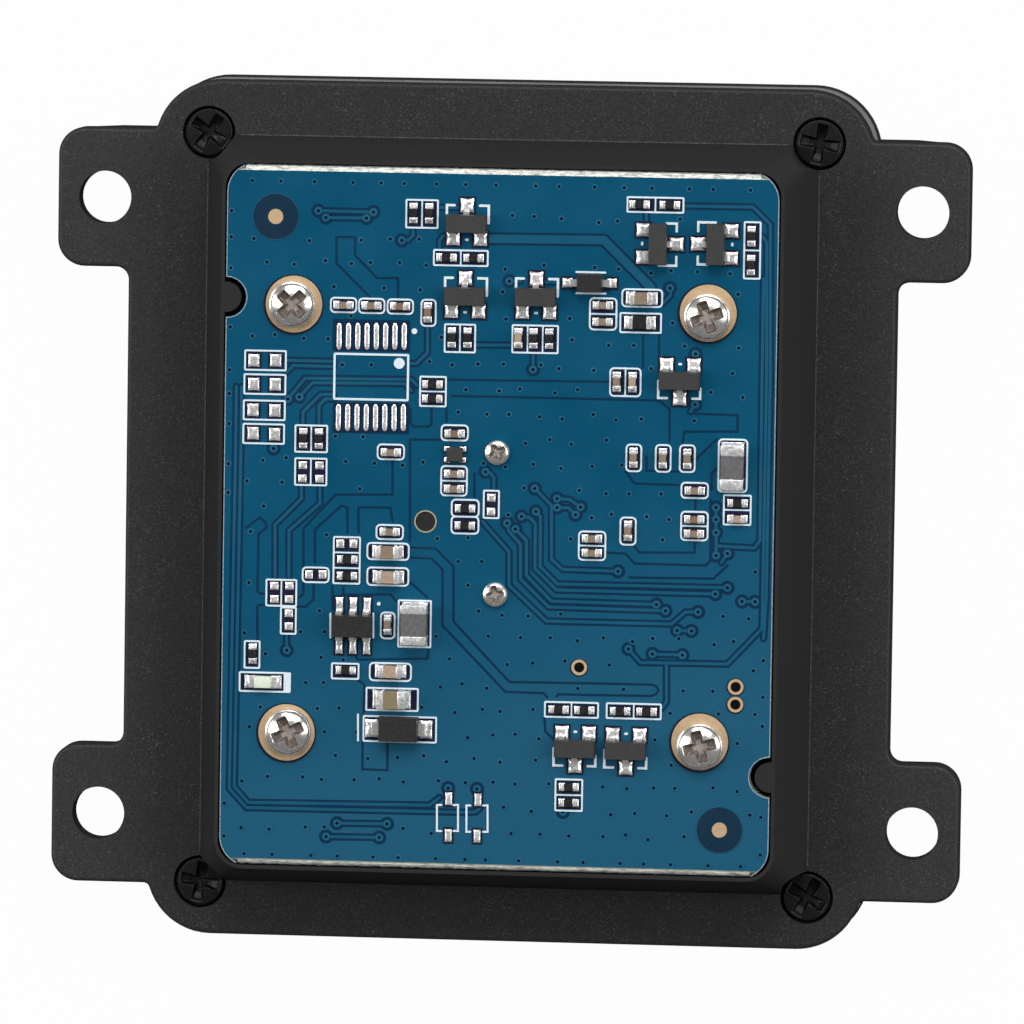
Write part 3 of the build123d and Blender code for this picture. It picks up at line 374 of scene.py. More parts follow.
class Piece:
    """Collects shapes in millimetres and makes one object of them."""

    def __init__(self):
        self.looks, self.verts, self.faces, self.mats, self.smooth = [], [], [], [], []
        self.layers = {}

    def add(self, shape, look, at=(0, 0, 0), turn=0.0, smooth=True):
        """Add a shape at a place, turned about z by degrees."""
        verts, faces = shape
        start = len(self.verts)
        place = Matrix.Translation(Vector(at)) @ Matrix.Rotation(math.radians(turn), 4, "Z")
        self.verts += [place @ Vector(v) for v in verts]
        self.faces += [[start + i for i in f] for f in faces]
        self.mats += [0] * len(faces)
        self.smooth += [smooth] * len(faces)
        self.paint(len(self.mats) - len(faces), len(self.mats), look)

    def paint(self, first, last, look):
        """Give faces first to last a look."""
        if look not in self.looks:
            self.looks.append(look)
        self.mats[first:last] = [self.looks.index(look)] * (last - first)

    def lay(self, shape, look, level, x=0.0, y=0.0):
        """Add a flat shape to the board, a hair above the last of its layer so that no two share a level."""
        count = self.layers.get(level, 0)
        self.layers[level] = count + 1
        lift = count % (HOLE_STEPS if level in (RING_LEVEL, HOLE_LEVEL) else LAYER_STEPS) * LEVEL_STEP
        self.add(shape, look, board_at(x, y, level + lift), 0, False)

    def make(self, name, slot, node=None):
        """The object, attached to the root, in place of a node of the frame if one is named; the slot is not
        used.
        """
        mesh = bpy.data.meshes.new(name)
        mesh.from_pydata([tuple(v * MM for v in p) for p in self.verts], [], self.faces)
        for look in self.looks:
            mesh.materials.append(LOOKS[look])
        for face, mat, smooth in zip(mesh.polygons, self.mats, self.smooth):
            face.material_index = mat
            face.use_smooth = smooth
        mesh.set_sharp_from_angle(angle=SHARP_ANGLE)
        mesh.update()
        made = bpy.data.objects.new(name, mesh)
        bpy.context.scene.collection.objects.link(made)
        if node:
            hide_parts(node)
        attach(made, "root")


def board_at(x, y, level=0.0):
    """A place on the board's rear face."""
    return (x, y + SHIFT_Y, TOP + level)


def moved(shape, x, z=0.0, turn=0.0):
    """A shape shifted along x and z, then turned about z by degrees."""
    spin = Matrix.Rotation(math.radians(turn), 4, "Z")
    return [tuple(spin @ Vector((v[0] + x, v[1], v[2] + z))) for v in shape[0]], shape[1]


def soft_box(width, depth, height, edge, steps=2, low=0.0):
    """A box on z = low with its edges rounded."""
    bm = bmesh.new()
    bmesh.ops.create_cube(bm, size=1.0)
    for v in bm.verts:
        v.co = Vector((v.co.x * width, v.co.y * depth, (v.co.z + 0.5) * height + low))
    bmesh.ops.bevel(bm, geom=list(bm.edges), offset=edge, segments=steps, profile=0.5, affect="EDGES")
    bm.verts.index_update()
    verts = [tuple(v.co) for v in bm.verts]
    faces = [[v.index for v in f.verts] for f in bm.faces]
    bm.free()
    return verts, faces


def stack(rows):
    """A closed solid from loops of points of the same length, from the inside top outwards and down."""
    count = len(rows[0])
    verts = [p for row in rows for p in row]
    faces = []
    for row in range(len(rows) - 1):
        for i in range(count):
            j = (i + 1) % count
            a, b = row * count, (row + 1) * count
            faces.append([a + i, b + i, b + j, a + j])
    faces.append(list(range(count)))
    faces.append([len(verts) - count + i for i in range(count)][::-1])
    return verts, faces


def circle(radius, level=0.0, steps=24):
    """Points of a circle round the origin."""
    angles = [2 * math.pi * i / steps for i in range(steps)]
    return [(radius * math.cos(a), radius * math.sin(a), level) for a in angles]


def slab(outline):
    """A thin closed plate below an outline at level 0."""
    return stack([[(x, y, z) for x, y, *_ in outline] for z in (0.0, -SUNK)])


def washer(inner, outer, steps=48):
    """A flat closed ring."""
    rows = [circle(r, z, steps) for r, z in ((inner, 0.0), (outer, 0.0), (outer, -SUNK), (inner, -SUNK))]
    verts = [p for row in rows for p in row]
    faces = []
    for row in range(4):
        for i in range(steps):
            j = (i + 1) % steps
            a, b = row * steps, (row + 1) % 4 * steps
            faces.append([a + i, b + i, b + j, a + j])
    return verts, faces


def plate(width, height, corner=0.02, steps=4):
    """Outline of a rectangle with rounded corners, counter-clockwise."""
    outline = []
    for cx, cy, start in ((1, 1, 0), (-1, 1, 90), (-1, -1, 180), (1, -1, 270)):
        for i in range(steps + 1):
            a = math.radians(start + 90 * i / steps)
            outline.append((cx * (width / 2 - corner) + corner * math.cos(a),
                            cy * (height / 2 - corner) + corner * math.sin(a)))
    return outline


def sheet(columns, rows, place, floor=-SUNK):
    """A closed solid whose upper side is the grid of points place(s, t)."""
    verts = [place(i / columns, j / rows) for j in range(rows + 1) for i in range(columns + 1)]
    wide = columns + 1
    faces = [[j * wide + i, j * wide + i + 1, (j + 1) * wide + i + 1, (j + 1) * wide + i]
             for j in range(rows) for i in range(columns)]
    rim = (list(range(columns)) + [j * wide + columns for j in range(rows)]
           + [rows * wide + i for i in range(columns, 0, -1)] + [j * wide for j in range(rows, 0, -1)])
    base = len(verts)
    verts += [(verts[k][0], verts[k][1], floor) for k in rim]
    for k in range(len(rim)):
        n = (k + 1) % len(rim)
        faces.append([rim[n], rim[k], base + k, base + n])
    faces.append([base + k for k in range(len(rim))][::-1])
    return verts, faces


def solder_coat(width, height, rise):
    """A pad under an uneven, domed coat of solder."""
    lump = 0.5
    seed = random.uniform(0.0, 90.0)

    def place(s, t):
        u, v = 2 * s - 1, 2 * t - 1
        edge = max(abs(u), abs(v))
        if height > 2.5 * width:
            v = math.sin(v * math.pi / 2)
            tip = max(0.0, (abs(v) - 1) * height / width + 1)
            x, y = u * math.sqrt(1 - 0.9 * tip ** 2) * width / 2, v * height / 2
        else:
            x, y = u * (0.91 + 0.09 * v ** 2) * width / 2, v * (0.91 + 0.09 * u ** 2) * height / 2
        wave = 1 + lump * noise.noise(Vector((x * 3.4, y * 3.4, seed)))
        return (x, y, rise * (1 - edge ** 5) * wave)

    count = 6 if max(width, height) < 0.8 else 9
    return sheet(count, count, place)


def meniscus(width, length, height):
    """Solder that climbs an end face at x = 0 and runs out along +X in a hollow curve."""
    seed = random.uniform(0.0, 90.0)

    def place(s, t):
        v = 2 * t - 1
        x = length * s * (1 - 0.2 * v ** 4)
        y = v * width / 2 * (1 - 0.06 * s)
        wave = 1 + 0.5 * noise.noise(Vector((x * 5, y * 5, seed)))
        return (x, y, height * (1 - s) ** 1.8 * (1 - 0.6 * v ** 6) * wave + 0.03 * math.sin(math.pi * s))

    return sheet(5, 5, place)


def ribbon(points, width, closed=False, ends=False):
    """A thin closed strip along a line of points, with mitred bends and, if wanted, round ends."""
    pts = [Vector((p[0], p[1])) for p in points]
    count = len(pts)
    sections = []
    for i, p in enumerate(pts):
        before = pts[i - 1] if (i > 0 or closed) else None
        after = pts[(i + 1) % count] if (i < count - 1 or closed) else None
        d1 = (p - before).normalized() if before is not None else (after - p).normalized()
        d2 = (after - p).normalized() if after is not None else d1
        n1, n2 = Vector((-d1.y, d1.x)), Vector((-d2.y, d2.x))
        n = (n1 + n2).normalized()
        sections.append((p, n * (width / 2 / max(0.4, n.dot(n1)))))
    if ends:
        first, last = (pts[0] - pts[1]).normalized(), (pts[-1] - pts[-2]).normalized()
        side, tail = sections[0][1], sections[-1][1]
        for along, across in ((0.5, 0.87), (0.87, 0.5), (0.99, 0.12)):
            sections.insert(0, (pts[0] + first * along * width / 2, side * across))
            sections.append((pts[-1] + last * along * width / 2, tail * across))
    verts = []
    for p, n in sections:
        left, right = p + n, p - n
        verts += [(left.x, left.y, 0.0), (right.x, right.y, 0.0)]
        verts += [(right.x, right.y, -SUNK), (left.x, left.y, -SUNK)]
    faces = []
    total = len(sections)
    for i in range(total if closed else total - 1):
        a, b = 4 * i, 4 * ((i + 1) % total)
        faces += [[a + k, a + (k + 1) % 4, b + (k + 1) % 4, b + k] for k in range(4)]
    if not closed:
        faces += [[3, 2, 1, 0], [len(verts) - 4 + k for k in range(4)]]
    return verts, faces


# Places on the board

# Read by eye from enlargements of the photograph as pixels, then scaled through its camera by a helper
# script to millimetres from the board's middle
RESISTORS_X = [
    (-3.85, 18.25), (-1.95, 18.25), (9.55, 22.2), (11.65, 22.2), (-4.7, 9.4), (-4.7, 8.4),
    (-2.3, 0.8), (-2.3, -0.4), (-10.5, -2.95), (-10.5, -4.1), (-10.5, -10.7), (16.7, 1.6),
    (4.45, -13.1), (6.25, -13.1), (8.75, -13.1), (10.6, -13.1), (5.25, -18.5), (5.25, -19.6),
]
RESISTORS_Y = [
    (-6.2, 21.3), (-5.1, 21.3), (-3.4, 12.7), (-2.3, 12.7), (2.3, 12.75), (3.4, 12.75),
    (17.35, 20.15), (17.35, 18.15), (-13.7, 5.45), (-12.6, 5.45), (-17.05, -9.7),
]
CAPACITORS_X = [
    (-11.0, 14.8), (-9.05, 14.8), (-7.05, 14.8), (7.1, 15.15), (7.1, 14.0), (-7.55, 4.6),
    (-3.1, 6.0), (-3.1, 3.2), (-3.1, 2.15), (-7.55, -0.95), (13.7, 2.4), (16.7, 0.5),
    (13.7, 0.4), (13.7, -0.6), (6.6, -1.1), (6.6, -2.1),
]
CAPACITORS_Y = [
    (-5.1, 14.4), (1.25, 12.75), (8.15, 9.85), (9.25, 9.85), (9.4, 4.6), (11.45, 4.6),
    (13.15, 4.6), (9.1, -0.5), (-7.6, -7.45),
]
TRANSISTORS = [
    (-2.45, 20.65, 0), (-2.5, 15.6, 0), (2.45, 15.65, 0), (5.65, -15.75, 180), (9.2, -15.8, 180),
    (12.55, 10.05, 180), (10.9, 19.5, 270), (14.9, 19.55, 90),
]
# Printed outlines as (x, y, width, height, cells): cells side by side, or stacked where negative
ROUND_BOXES = [
    (-11.0, 14.8, 1.9, 1.12, 1), (-9.03, 14.78, 1.9, 1.12, 1), (-7.03, 14.77, 1.9, 1.12, 1),
    (-5.05, 14.38, 1.12, 1.94, 1), (9.83, 15.71, 2.9, 1.32, 1), (7.13, 14.55, 1.97, 2.3, -2),
    (8.75, 9.84, 2.24, 2.05, 2), (-7.55, 4.63, 1.97, 1.15, 1), (-3.1, 6.06, 1.97, 1.18, 1),
    (-3.1, 2.71, 1.92, 2.17, -2), (-7.55, -0.97, 1.98, 1.11, 1), (-7.65, -2.32, 3.02, 1.26, 1),
    (-7.64, -4.08, 3.0, 1.35, 1), (-7.6, -7.5, 1.09, 1.93, 1), (-7.37, -10.75, 3.01, 1.34, 1),
    (9.42, 4.59, 1.16, 1.98, 1), (11.47, 4.6, 1.16, 1.98, 1), (13.15, 4.62, 1.16, 1.98, 1),
    (13.7, 2.42, 1.97, 1.18, 1), (16.32, 4.2, 2.1, 3.76, 1), (13.72, -0.06, 1.97, 2.1, -2),
    (9.1, -0.52, 1.19, 2.01, 1), (6.61, -1.6, 1.97, 2.1, -2), (-2.29, 0.82, 2.01, 1.3, 1),
    (-2.29, -0.36, 2.01, 1.3, 1), (-12.7, -4.08, 1.95, 1.15, 1),
]
SQUARE_BOXES = [
    (-5.6, 21.25, 2.32, 2.05, 2), (-2.85, 18.24, 3.88, 1.18, 2), (-2.83, 12.65, 2.24, 2.05, 2),
    (10.65, 22.19, 4.01, 1.14, 2), (17.42, 19.17, 1.23, 4.03, -2), (-4.66, 8.91, 1.92, 2.17, -2),
    (-13.14, 5.43, 2.35, 1.97, 2), (-13.14, 3.12, 2.32, 1.98, 2), (-0.47, 1.13, 1.18, 2.02, 1),
    (-10.54, -3.01, 1.95, 3.36, -3), (-15.1, -5.39, 2.22, 1.94, 2), (-14.58, -7.33, 1.17, 1.95, 1),
    (-17.1, -9.76, 1.17, 1.99, 1), (-10.54, -10.77, 1.99, 1.18, 1), (5.35, -13.09, 3.84, 1.16, 2),
    (9.7, -13.08, 3.9, 1.16, 2), (5.25, -19.06, 1.99, 2.31, -2), (-16.42, 10.83, 2.98, 1.47, 0),
    (-16.44, 9.16, 3.0, 1.48, 0), (-16.46, 7.35, 3.0, 1.46, 0), (-16.48, 5.7, 2.98, 1.47, 0),
    (16.68, 1.12, 1.99, 2.16, -2), (9.75, 13.98, 2.95, 1.45, 1), (2.42, 12.7, 3.29, 2.02, 3),
    (-16.25, -11.67, 3.52, 1.44, 1), (-6.65, -14.75, 5.21, 1.87, 1), (-5.72, -7.34, 2.38, 3.36, 1),
    (-7.22, -12.67, 3.73, 1.67, 1),
]
# Tinned pads with nothing on them, as a size and the pads' centres
EMPTY_PADS = [
    ((0.8, 0.9), [(-17.23, 10.82), (-15.7, 10.85), (-17.22, 9.16), (-15.71, 9.17), (-17.25, 7.36),
     (-15.71, 7.35), (-17.22, 5.73), (-15.71, 5.69)]),
    ((0.6, 0.55), [(-13.7, 3.57), (-12.53, 3.58), (-13.72, 2.64), (-12.52, 2.64)]),
    ((0.55, 0.6), [(-11.0, -1.86), (-10.08, -1.84), (-13.17, -4.06), (-12.21, -4.04)]),
    ((0.6, 0.55), [(-15.59, -4.91), (-14.53, -4.89), (-15.58, -5.84), (-14.55, -5.82), (-14.55, -6.81),
     (-14.54, -7.72), (-0.47, 1.59), (-0.48, 0.62)]),
    ((0.48, 0.92), [(-3.15, -19.53), (-3.15, -22.1), (-1.1, -19.55), (-1.13, -22.1)]),
]
# Centre of each gold ring, and of the screw in it with the turn of its cross
GOLD_RINGS = [(-14.47, 14.8), (14.44, 14.76), (-14.6, -15.16), (14.34, -15.11)]
BOARD_SCREWS = [(-14.55, 14.8, 45), (14.4, 14.5, 20), (-14.45, -15.1, 25), (14.38, -15.4, 15)]
# Round copper discs that a placing machine looks for, test points, and the lens holder's peg
MARK_DISCS = [(-15.83, 20.87), (15.81, -21.24)]
TEST_POINTS = [(5.84, -10.11), (16.78, -11.21), (16.78, -12.44)]
LENS_PEG = (-5.06, -0.17)
REGULATOR = (-10.03, -7.57)
# Height of the round notch in the board's left and right edge
NOTCHES = {-1: 15.2, 1: -17.5}
# Plated holes: rows along the edges, staggered rows over the copper, and how far they keep off
HOLE_EDGE_X = (-18.93, 18.68)
HOLE_EDGE_Y = (-23.76, 23.34)
HOLE_EDGE_START, HOLE_EDGE_PITCH, HOLE_EDGE_COUNT = (-17.3, -22.5), (2.15, 2.2), (17, 21)
HOLE_START, HOLE_PITCH, HOLE_COUNT = (-17.4, -21.9), (1.9, 1.72), (19, 26)
HOLE_SPREAD = 0.42
HOLE_ROOM = 0.36
HOLE_APART = 0.5
# Spots that the holes keep off, as (x, y, width, height), and round ones as (x, y, radius)
KEPT_BOXES = [(*REGULATOR, 2.9, 4.1), (6.15, 16.7, 4.1, 1.6), (-2.14, -20.85, 3.6, 3.5),
              (-3.05, 4.6, 1.7, 1.4)]
KEPT_ROUNDS = [(*LENS_PEG, 0.8), (0.0, 4.9, 0.9), (-0.2, -5.35, 0.9)]
KEPT_ROUNDS += [(side * 19.2, y, 1.4) for side, y in NOTCHES.items()]
KEPT_ROUNDS += [(*disc, 1.6) for disc in MARK_DISCS] + [(*point, 0.6) for point in TEST_POINTS]
# Widths of the tracks and of the gap beside them
TRACK_WIDTH = 0.21
WIDE_TRACK_WIDTH = 0.58
TRACK_GAP = 0.16
# Tracks by the ends that have a plated hole; a wide one has none
TRACKS = [
    ("both", [(-12.85, 21.33), (-9.0, 21.31)]),
    ("both", [(-12.32, 20.86), (-9.48, 20.88)]),
    ("start", [(-6.99, 19.38), (-6.53, 19.42), (-6.21, 19.76), (-6.22, 20.22)]),
    ("open", [(-3.81, 19.85), (-4.16, 19.71), (-4.36, 19.42), (-4.35, 18.83)]),
    ("open", [(-4.39, 21.72), (-3.07, 21.74)]),
    ("open", [(-1.67, 12.21), (0.7, 12.25)]),
    ("open", [(-5.11, 13.35), (-5.09, 11.61), (-5.85, 10.83), (-6.27, 10.82)]),
    ("open", [(-14.91, 10.86), (-11.63, 10.86)]),
    ("open", [(-14.94, 10.01), (-14.46, 10.51), (-11.65, 10.5)]),
    ("start", [(-14.82, 8.17), (-13.64, 9.63), (-6.18, 9.71), (-5.76, 9.3)]),
    ("start", [(-14.01, 8.33), (-13.11, 9.34), (-6.67, 9.41), (-6.17, 8.94)]),
    ("open", [(-11.63, 8.55), (-12.54, 8.53), (-13.75, 7.28), (-13.74, 6.48)]),
    ("open", [(-11.62, 8.24), (-12.18, 8.23), (-12.63, 7.76), (-12.62, 6.5)]),
    ("open", [(-13.79, 2.14), (-13.77, 1.24), (-15.61, -0.66), (-15.56, -4.26)]),
    ("open", [(-12.49, 2.17), (-12.47, 0.92), (-14.62, -1.02), (-14.58, -4.24)]),
    ("start", [(0.56, 16.7), (1.33, 16.72)]),
    ("open", [(3.07, 16.7), (4.47, 16.7)]),
    ("end", [(2.29, 11.63), (2.3, 10.59)]),
    ("open", [(10.03, 21.58), (10.04, 21.03)]),
    ("start", [(11.75, 16.44), (11.79, 15.93), (11.31, 15.4)]),
    ("start", [(13.6, 11.91), (13.6, 11.38)]),
    ("start", [(13.63, 8.39), (13.31, 7.9)]),
    ("start", [(-0.91, 3.38), (-0.56, 3.31), (-0.32, 3.0), (-0.31, 2.24)]),
    ("open", [(15.28, -1.41), (17.92, -1.5), (18.29, -0.97), (18.25, 10.23), (18.24, 17.24)]),
    ("end", [(18.11, 20.15), (18.42, 19.74), (18.56, 10.24), (18.55, -5.07), (18.54, -7.09),
     (16.18, -9.63), (10.11, -9.67), (9.26, -8.74)]),
    ("open", [(12.73, 22.16), (17.42, 22.17), (18.65, 20.99), (18.82, 10.24), (18.79, -5.06),
     (18.66, -7.79)]),
    ("both", [(2.55, 2.3), (3.73, 1.14), (3.79, -2.62), (4.57, -3.29), (8.45, -3.34)]),
    ("both", [(4.11, 1.64), (4.98, 1.6), (5.76, 1.08)]),
    ("both", [(4.12, 1.01), (4.92, 1.0), (5.42, 0.54)]),
    ("both", [(2.65, 0.7), (2.97, 0.36), (3.0, -3.13), (4.23, -4.32), (16.09, -4.31)]),
    ("both", [(1.65, 0.33), (2.21, 0.27), (2.62, -0.14), (2.64, -3.28), (4.17, -4.74), (15.25, -4.77)]),
    ("both", [(1.24, -0.56), (2.02, -1.34), (2.06, -3.78), (3.83, -5.53), (11.16, -5.59)]),
    ("both", [(0.65, -0.16), (0.78, -0.7), (1.61, -1.63), (1.64, -4.04), (3.63, -5.94), (11.8, -6.02)]),
    ("end", [(-1.07, -0.08), (-0.08, -1.18), (0.81, -2.14), (0.85, -4.51), (3.5, -6.93), (12.23, -6.93),
     (13.19, -6.08), (14.07, -6.04)]),
    ("both", [(12.63, -7.37), (13.63, -7.38)]),
    ("both", [(17.12, -5.24), (18.03, -5.24)]),
    ("open", [(11.93, -9.83), (11.97, -12.35), (11.63, -12.85)]),
    ("both", [(10.94, -9.05), (13.03, -9.08)]),
    ("both", [(-10.97, -21.45), (-7.46, -21.41)]),
    ("both", [(-11.73, -22.41), (-8.0, -22.38)]),
    ("end", [(-14.69, -8.31), (-14.67, -9.4)]),
    ("start", [(-3.2, -18.79), (-3.2, -19.38)]),
    ("start", [(-1.18, -18.8), (-1.17, -19.4)]),
    ("open", [(-18.07, 8.97), (-18.07, 4.77), (-18.24, -19.06), (-17.25, -20.15), (-4.5, -20.02),
     (-3.8, -19.47)]),
    ("open", [(-18.44, 8.96), (-18.44, 4.77), (-18.59, -19.21), (-17.36, -20.52), (-1.97, -20.46),
     (-1.27, -20.41), (-0.92, -20.09)]),
    ("wide", [(-0.89, 19.62), (7.1, 19.68), (10.43, 16.46)]),
    ("both", [(15.22, 0.43), (15.26, -2.08)]),
    ("both", [(15.2, 1.26), (15.23, -0.48)]),
    ("start", [(16.05, -1.92), (15.64, -2.56)]),
    ("start", [(4.86, -20.25), (4.86, -19.95)]),
    ("start", [(-15.78, 4.69), (-15.78, 4.65)]),
]
# Single dark gaps in the copper
GAPS = [
    [(-11.54, 17.68), (-11.56, 19.52), (-10.26, 19.54), (-10.25, 18.29), (-8.69, 16.73), (-7.22, 16.76),
     (-7.2, 15.47)],
    [(-11.54, 17.68), (-9.2, 15.43)],
    [(9.93, 13.25), (9.97, 10.89)],
    [(11.04, 13.27), (11.07, 11.33)],
    [(-3.66, 9.76), (-0.73, 9.78), (7.64, 9.85)],
    [(-3.3, 8.62), (-0.71, 8.64), (11.14, 8.62), (11.85, 8.01), (11.89, 5.78)],
    [(-3.71, 7.81), (-3.69, 6.84)],
    [(-7.43, 4.03), (-7.4, 1.66), (-11.39, 1.57), (-13.61, -0.86), (-13.55, -5.41), (-14.03, -5.84)],
    [(-10.52, -1.07), (-10.54, 0.68), (-10.96, 0.81), (-12.8, -0.91), (-12.77, -3.22)],
    [(-12.85, -4.69), (-12.84, -5.81), (-13.39, -6.31), (-13.95, -6.33)],
    [(-17.61, -0.88), (-16.7, -0.16), (-16.24, -0.5), (-16.2, -0.85), (-16.76, -1.31), (-16.78, -5.34),
     (-16.64, -5.48), (-16.28, -5.47)],
    [(-16.27, -6.24), (-16.7, -6.29), (-16.79, -6.46), (-16.73, -8.78)],
    [(-9.74, -1.05), (-9.77, 0.7), (-7.53, 0.75), (-7.37, -0.23)],
    [(-4.09, 5.57), (-6.23, 5.52), (-6.13, -1.53)],
    [(-6.09, -2.01), (-4.33, -2.04), (-3.06, -3.27), (-3.0, -7.12), (0.98, -11.25), (7.27, -11.2),
     (10.91, -11.19), (11.26, -11.32), (11.4, -11.56), (11.26, -11.83), (10.92, -11.98), (7.29, -12.02),
     (4.42, -12.02), (4.28, -12.19)],
    [(-6.08, -2.71), (-4.6, -2.75), (-3.82, -3.5), (-3.77, -7.41), (0.71, -11.95), (3.37, -11.97),
     (3.66, -12.27)],
    [(-6.05, -4.46), (-4.85, -5.48)],
    [(-10.81, -5.41), (-7.44, -5.33), (-7.01, -5.81)],
    [(-11.52, -4.87), (-11.49, -6.48)],
    [(-10.74, -4.85), (-10.74, -5.48)],
    [(13.24, 8.11), (13.25, 7.76), (16.59, 7.72), (16.6, 6.58), (12.92, 6.5), (12.79, 5.73)],
    [(13.78, 4.64), (15.15, 5.99)],
    [(10.3, 4.7), (10.32, 3.73), (12.55, 3.71)],
    [(8.86, 3.63), (9.5, 2.81), (12.63, 2.77)],
    [(15.39, 4.19), (14.85, 3.62), (14.86, 2.51)],
    [(13.76, 1.86), (13.77, 1.09)],
    [(13.78, -1.07), (13.75, -1.91), (9.92, -1.99), (9.57, -1.58)],
    [(7.62, -2.05), (8.95, -2.09), (9.58, -2.77), (14.53, -2.79), (14.88, -2.44), (14.84, 1.81)],
    [(16.06, -2.76), (15.11, -3.69), (9.25, -3.75)],
    [(3.47, -13.75), (3.55, -14.66), (4.12, -15.2)],
    [(-9.26, -15.75), (-9.24, -17.61), (-7.48, -17.64), (-7.51, -15.77)],
    [(-4.73, -8.84), (-4.78, -9.75), (-9.69, -9.94), (-9.84, -9.66)],
    [(-9.6, -11.41), (-9.18, -11.68), (-9.22, -13.64)],
    [(-6.22, 7.69), (-6.21, 6.64), (-5.99, 6.44), (-4.95, 6.46), (-4.74, 6.67), (-4.75, 7.79)],
    [(-1.68, 3.25), (-1.66, 1.58)],
]
# Fields without copper under the mask, as (x, y, width, height)
DARK_FIELDS = [(-9.02, 12.72, 5.44, 2.23), (-8.98, 6.96, 5.37, 2.16)]
# Printed lines besides the outlines
PRINT_LINES = [
    [(-3.96, -20.87), (-3.97, -19.99), (-3.66, -19.98)],
    [(-2.82, -19.96), (-2.49, -19.95), (-2.47, -21.78), (-2.79, -21.78)],
    [(-3.63, -21.81), (-3.95, -21.81), (-3.96, -20.87)],
    [(-1.89, -20.82), (-1.9, -19.97), (-1.62, -19.96)],
    [(-0.74, -19.94), (-0.42, -19.93), (-0.39, -21.78), (-0.71, -21.79)],
    [(-1.6, -21.81), (-1.88, -21.82), (-1.89, -20.82)],
    [(5.22, 17.43), (7.24, 17.43)],
    [(5.25, 15.96), (7.27, 15.97)],
    [(-11.63, -6.76), (-11.61, -8.44)],
    [(-8.62, -6.69), (-8.6, -8.37)],
    [(-9.6, -13.79), (-9.57, -15.61)],
]


# Small parts

def chip_look(piece, size, place, body, share=0.2, joint=0.2):
    """Ceramic body with plated ends, standing in its solder on two pads."""
    length, width, height = size
    x, y, turn = place
    at = board_at(x, y)
    end = length * share
    lean = turn + random.uniform(-2.0, 2.0)
    piece.add(soft_box(length - 2 * end + 0.06, width - 0.02, height - 0.02, 0.03, 1, 0.02), body, at, lean)
    for sign in (-1, 1):
        side = 0 if sign > 0 else 180
        cap = soft_box(end, width, height, 0.05, 2, 0.02)
        piece.add(moved(cap, sign * (length - end) / 2), "solder", at, lean)
        climb = meniscus(width * 0.98, joint, height * random.uniform(0.5, 0.75))
        piece.add(moved(climb, length / 2 - 0.02, 0.02, side), "solder", at, turn)
        coat = solder_coat(end + joint + 0.02, width + 0.08, 0.05)
        piece.add(moved(coat, length / 2 - end / 2 + joint / 2, PAD_LEVEL, side), "solder", at, turn)


def chips(name, slot, node, entries):
    """One object of several chip parts, each as (size, place, body look, end share, joint)."""
    piece = Piece()
    for entry in entries:
        chip_look(piece, *entry)
    piece.make(name, slot, node)


def small_parts():
    """Ceramic bodies with plated ends, in place of the plain ones."""
    small, tall, wide = (1.0, 0.5, 0.35), (1.0, 0.5, 0.5), (1.6, 0.85, 0.85)
    places = [(x, y, 0) for x, y in RESISTORS_X] + [(x, y, 90) for x, y in RESISTORS_Y]
    chips("resistor_details", "resistor", "small_resistors", [(small, p, "resistor") for p in places])
    shades = {(-3.1, 6.0): "brown", (-7.05, 14.8): "brown", (-5.1, 14.4): "brown", (13.7, 0.4): "brown",
              (7.1, 14.0): "olive", (16.7, 0.5): "light", (1.25, 12.75): "light", (9.25, 9.85): "light"}
    places = [(x, y, 0) for x, y in CAPACITORS_X] + [(x, y, 90) for x, y in CAPACITORS_Y]
    entries = [(tall, p, shades.get(p[:2], "tan"), 0.24) for p in places]
    chips("capacitor_details", "capacitor", "small_capacitors", entries)
    chips("large_capacitor_details", "capacitor", "large_capacitors", [
        (wide, (9.8, 15.7, 0), "tan", 0.22, 0.3), (wide, (-7.65, -2.35, 0), "tan", 0.22, 0.3),
        (wide, (-7.6, -4.1, 0), "light", 0.22, 0.3), (wide, (-7.35, -10.7, 0), "light", 0.22, 0.3)])
    for node, slot, *entry in (
        ("bulk_capacitor", "capacitor", (2.0, 1.25, 1.1), (-7.25, -12.65, 0), "olive", 0.25, 0.34),
        ("large_resistor", "resistor", (1.6, 0.85, 0.45), (9.7, 14.0, 0), "resistor", 0.2, 0.3),
        ("input_fuse", "resistor", (3.1, 1.6, 0.9), (16.3, 4.1, 90), "ferrite", 0.24, 0.2),
        ("power_inductor", "ferrite", (2.8, 1.8, 1.3), (-5.7, -7.35, 90), "ferrite", 0.22, 0.12),
    ):
        chips(node + "_details", slot, node, [entry])
    lamp = Piece()
    chip_look(lamp, (2.0, 0.85, 0.34), (-16.3, -11.65, 0), "white", 0.2, 0.3)
    lamp.add(soft_box(1.15, 0.8, 0.3, 0.05, 2, 0.3), "phosphor", board_at(-16.3, -11.65))
    lamp.make("indicator_lamp_details", "lamp", "indicator_lamp")


# Screws

def cross_reach(angle, span, root, tip):
    """Radius at an angle of a cross with four arms of length span that widen from root to tip."""
    a = abs((angle + math.pi / 4) % (math.pi / 2) - math.pi / 4)
    flare = (tip - root) / (span - root)
    slope = math.sin(a) - flare * math.cos(a)
    side = root * (1 - flare) / slope if slope > 1e-4 else 1e9
    return ((span / math.cos(a)) ** -9 + side ** -9) ** (-1 / 9)


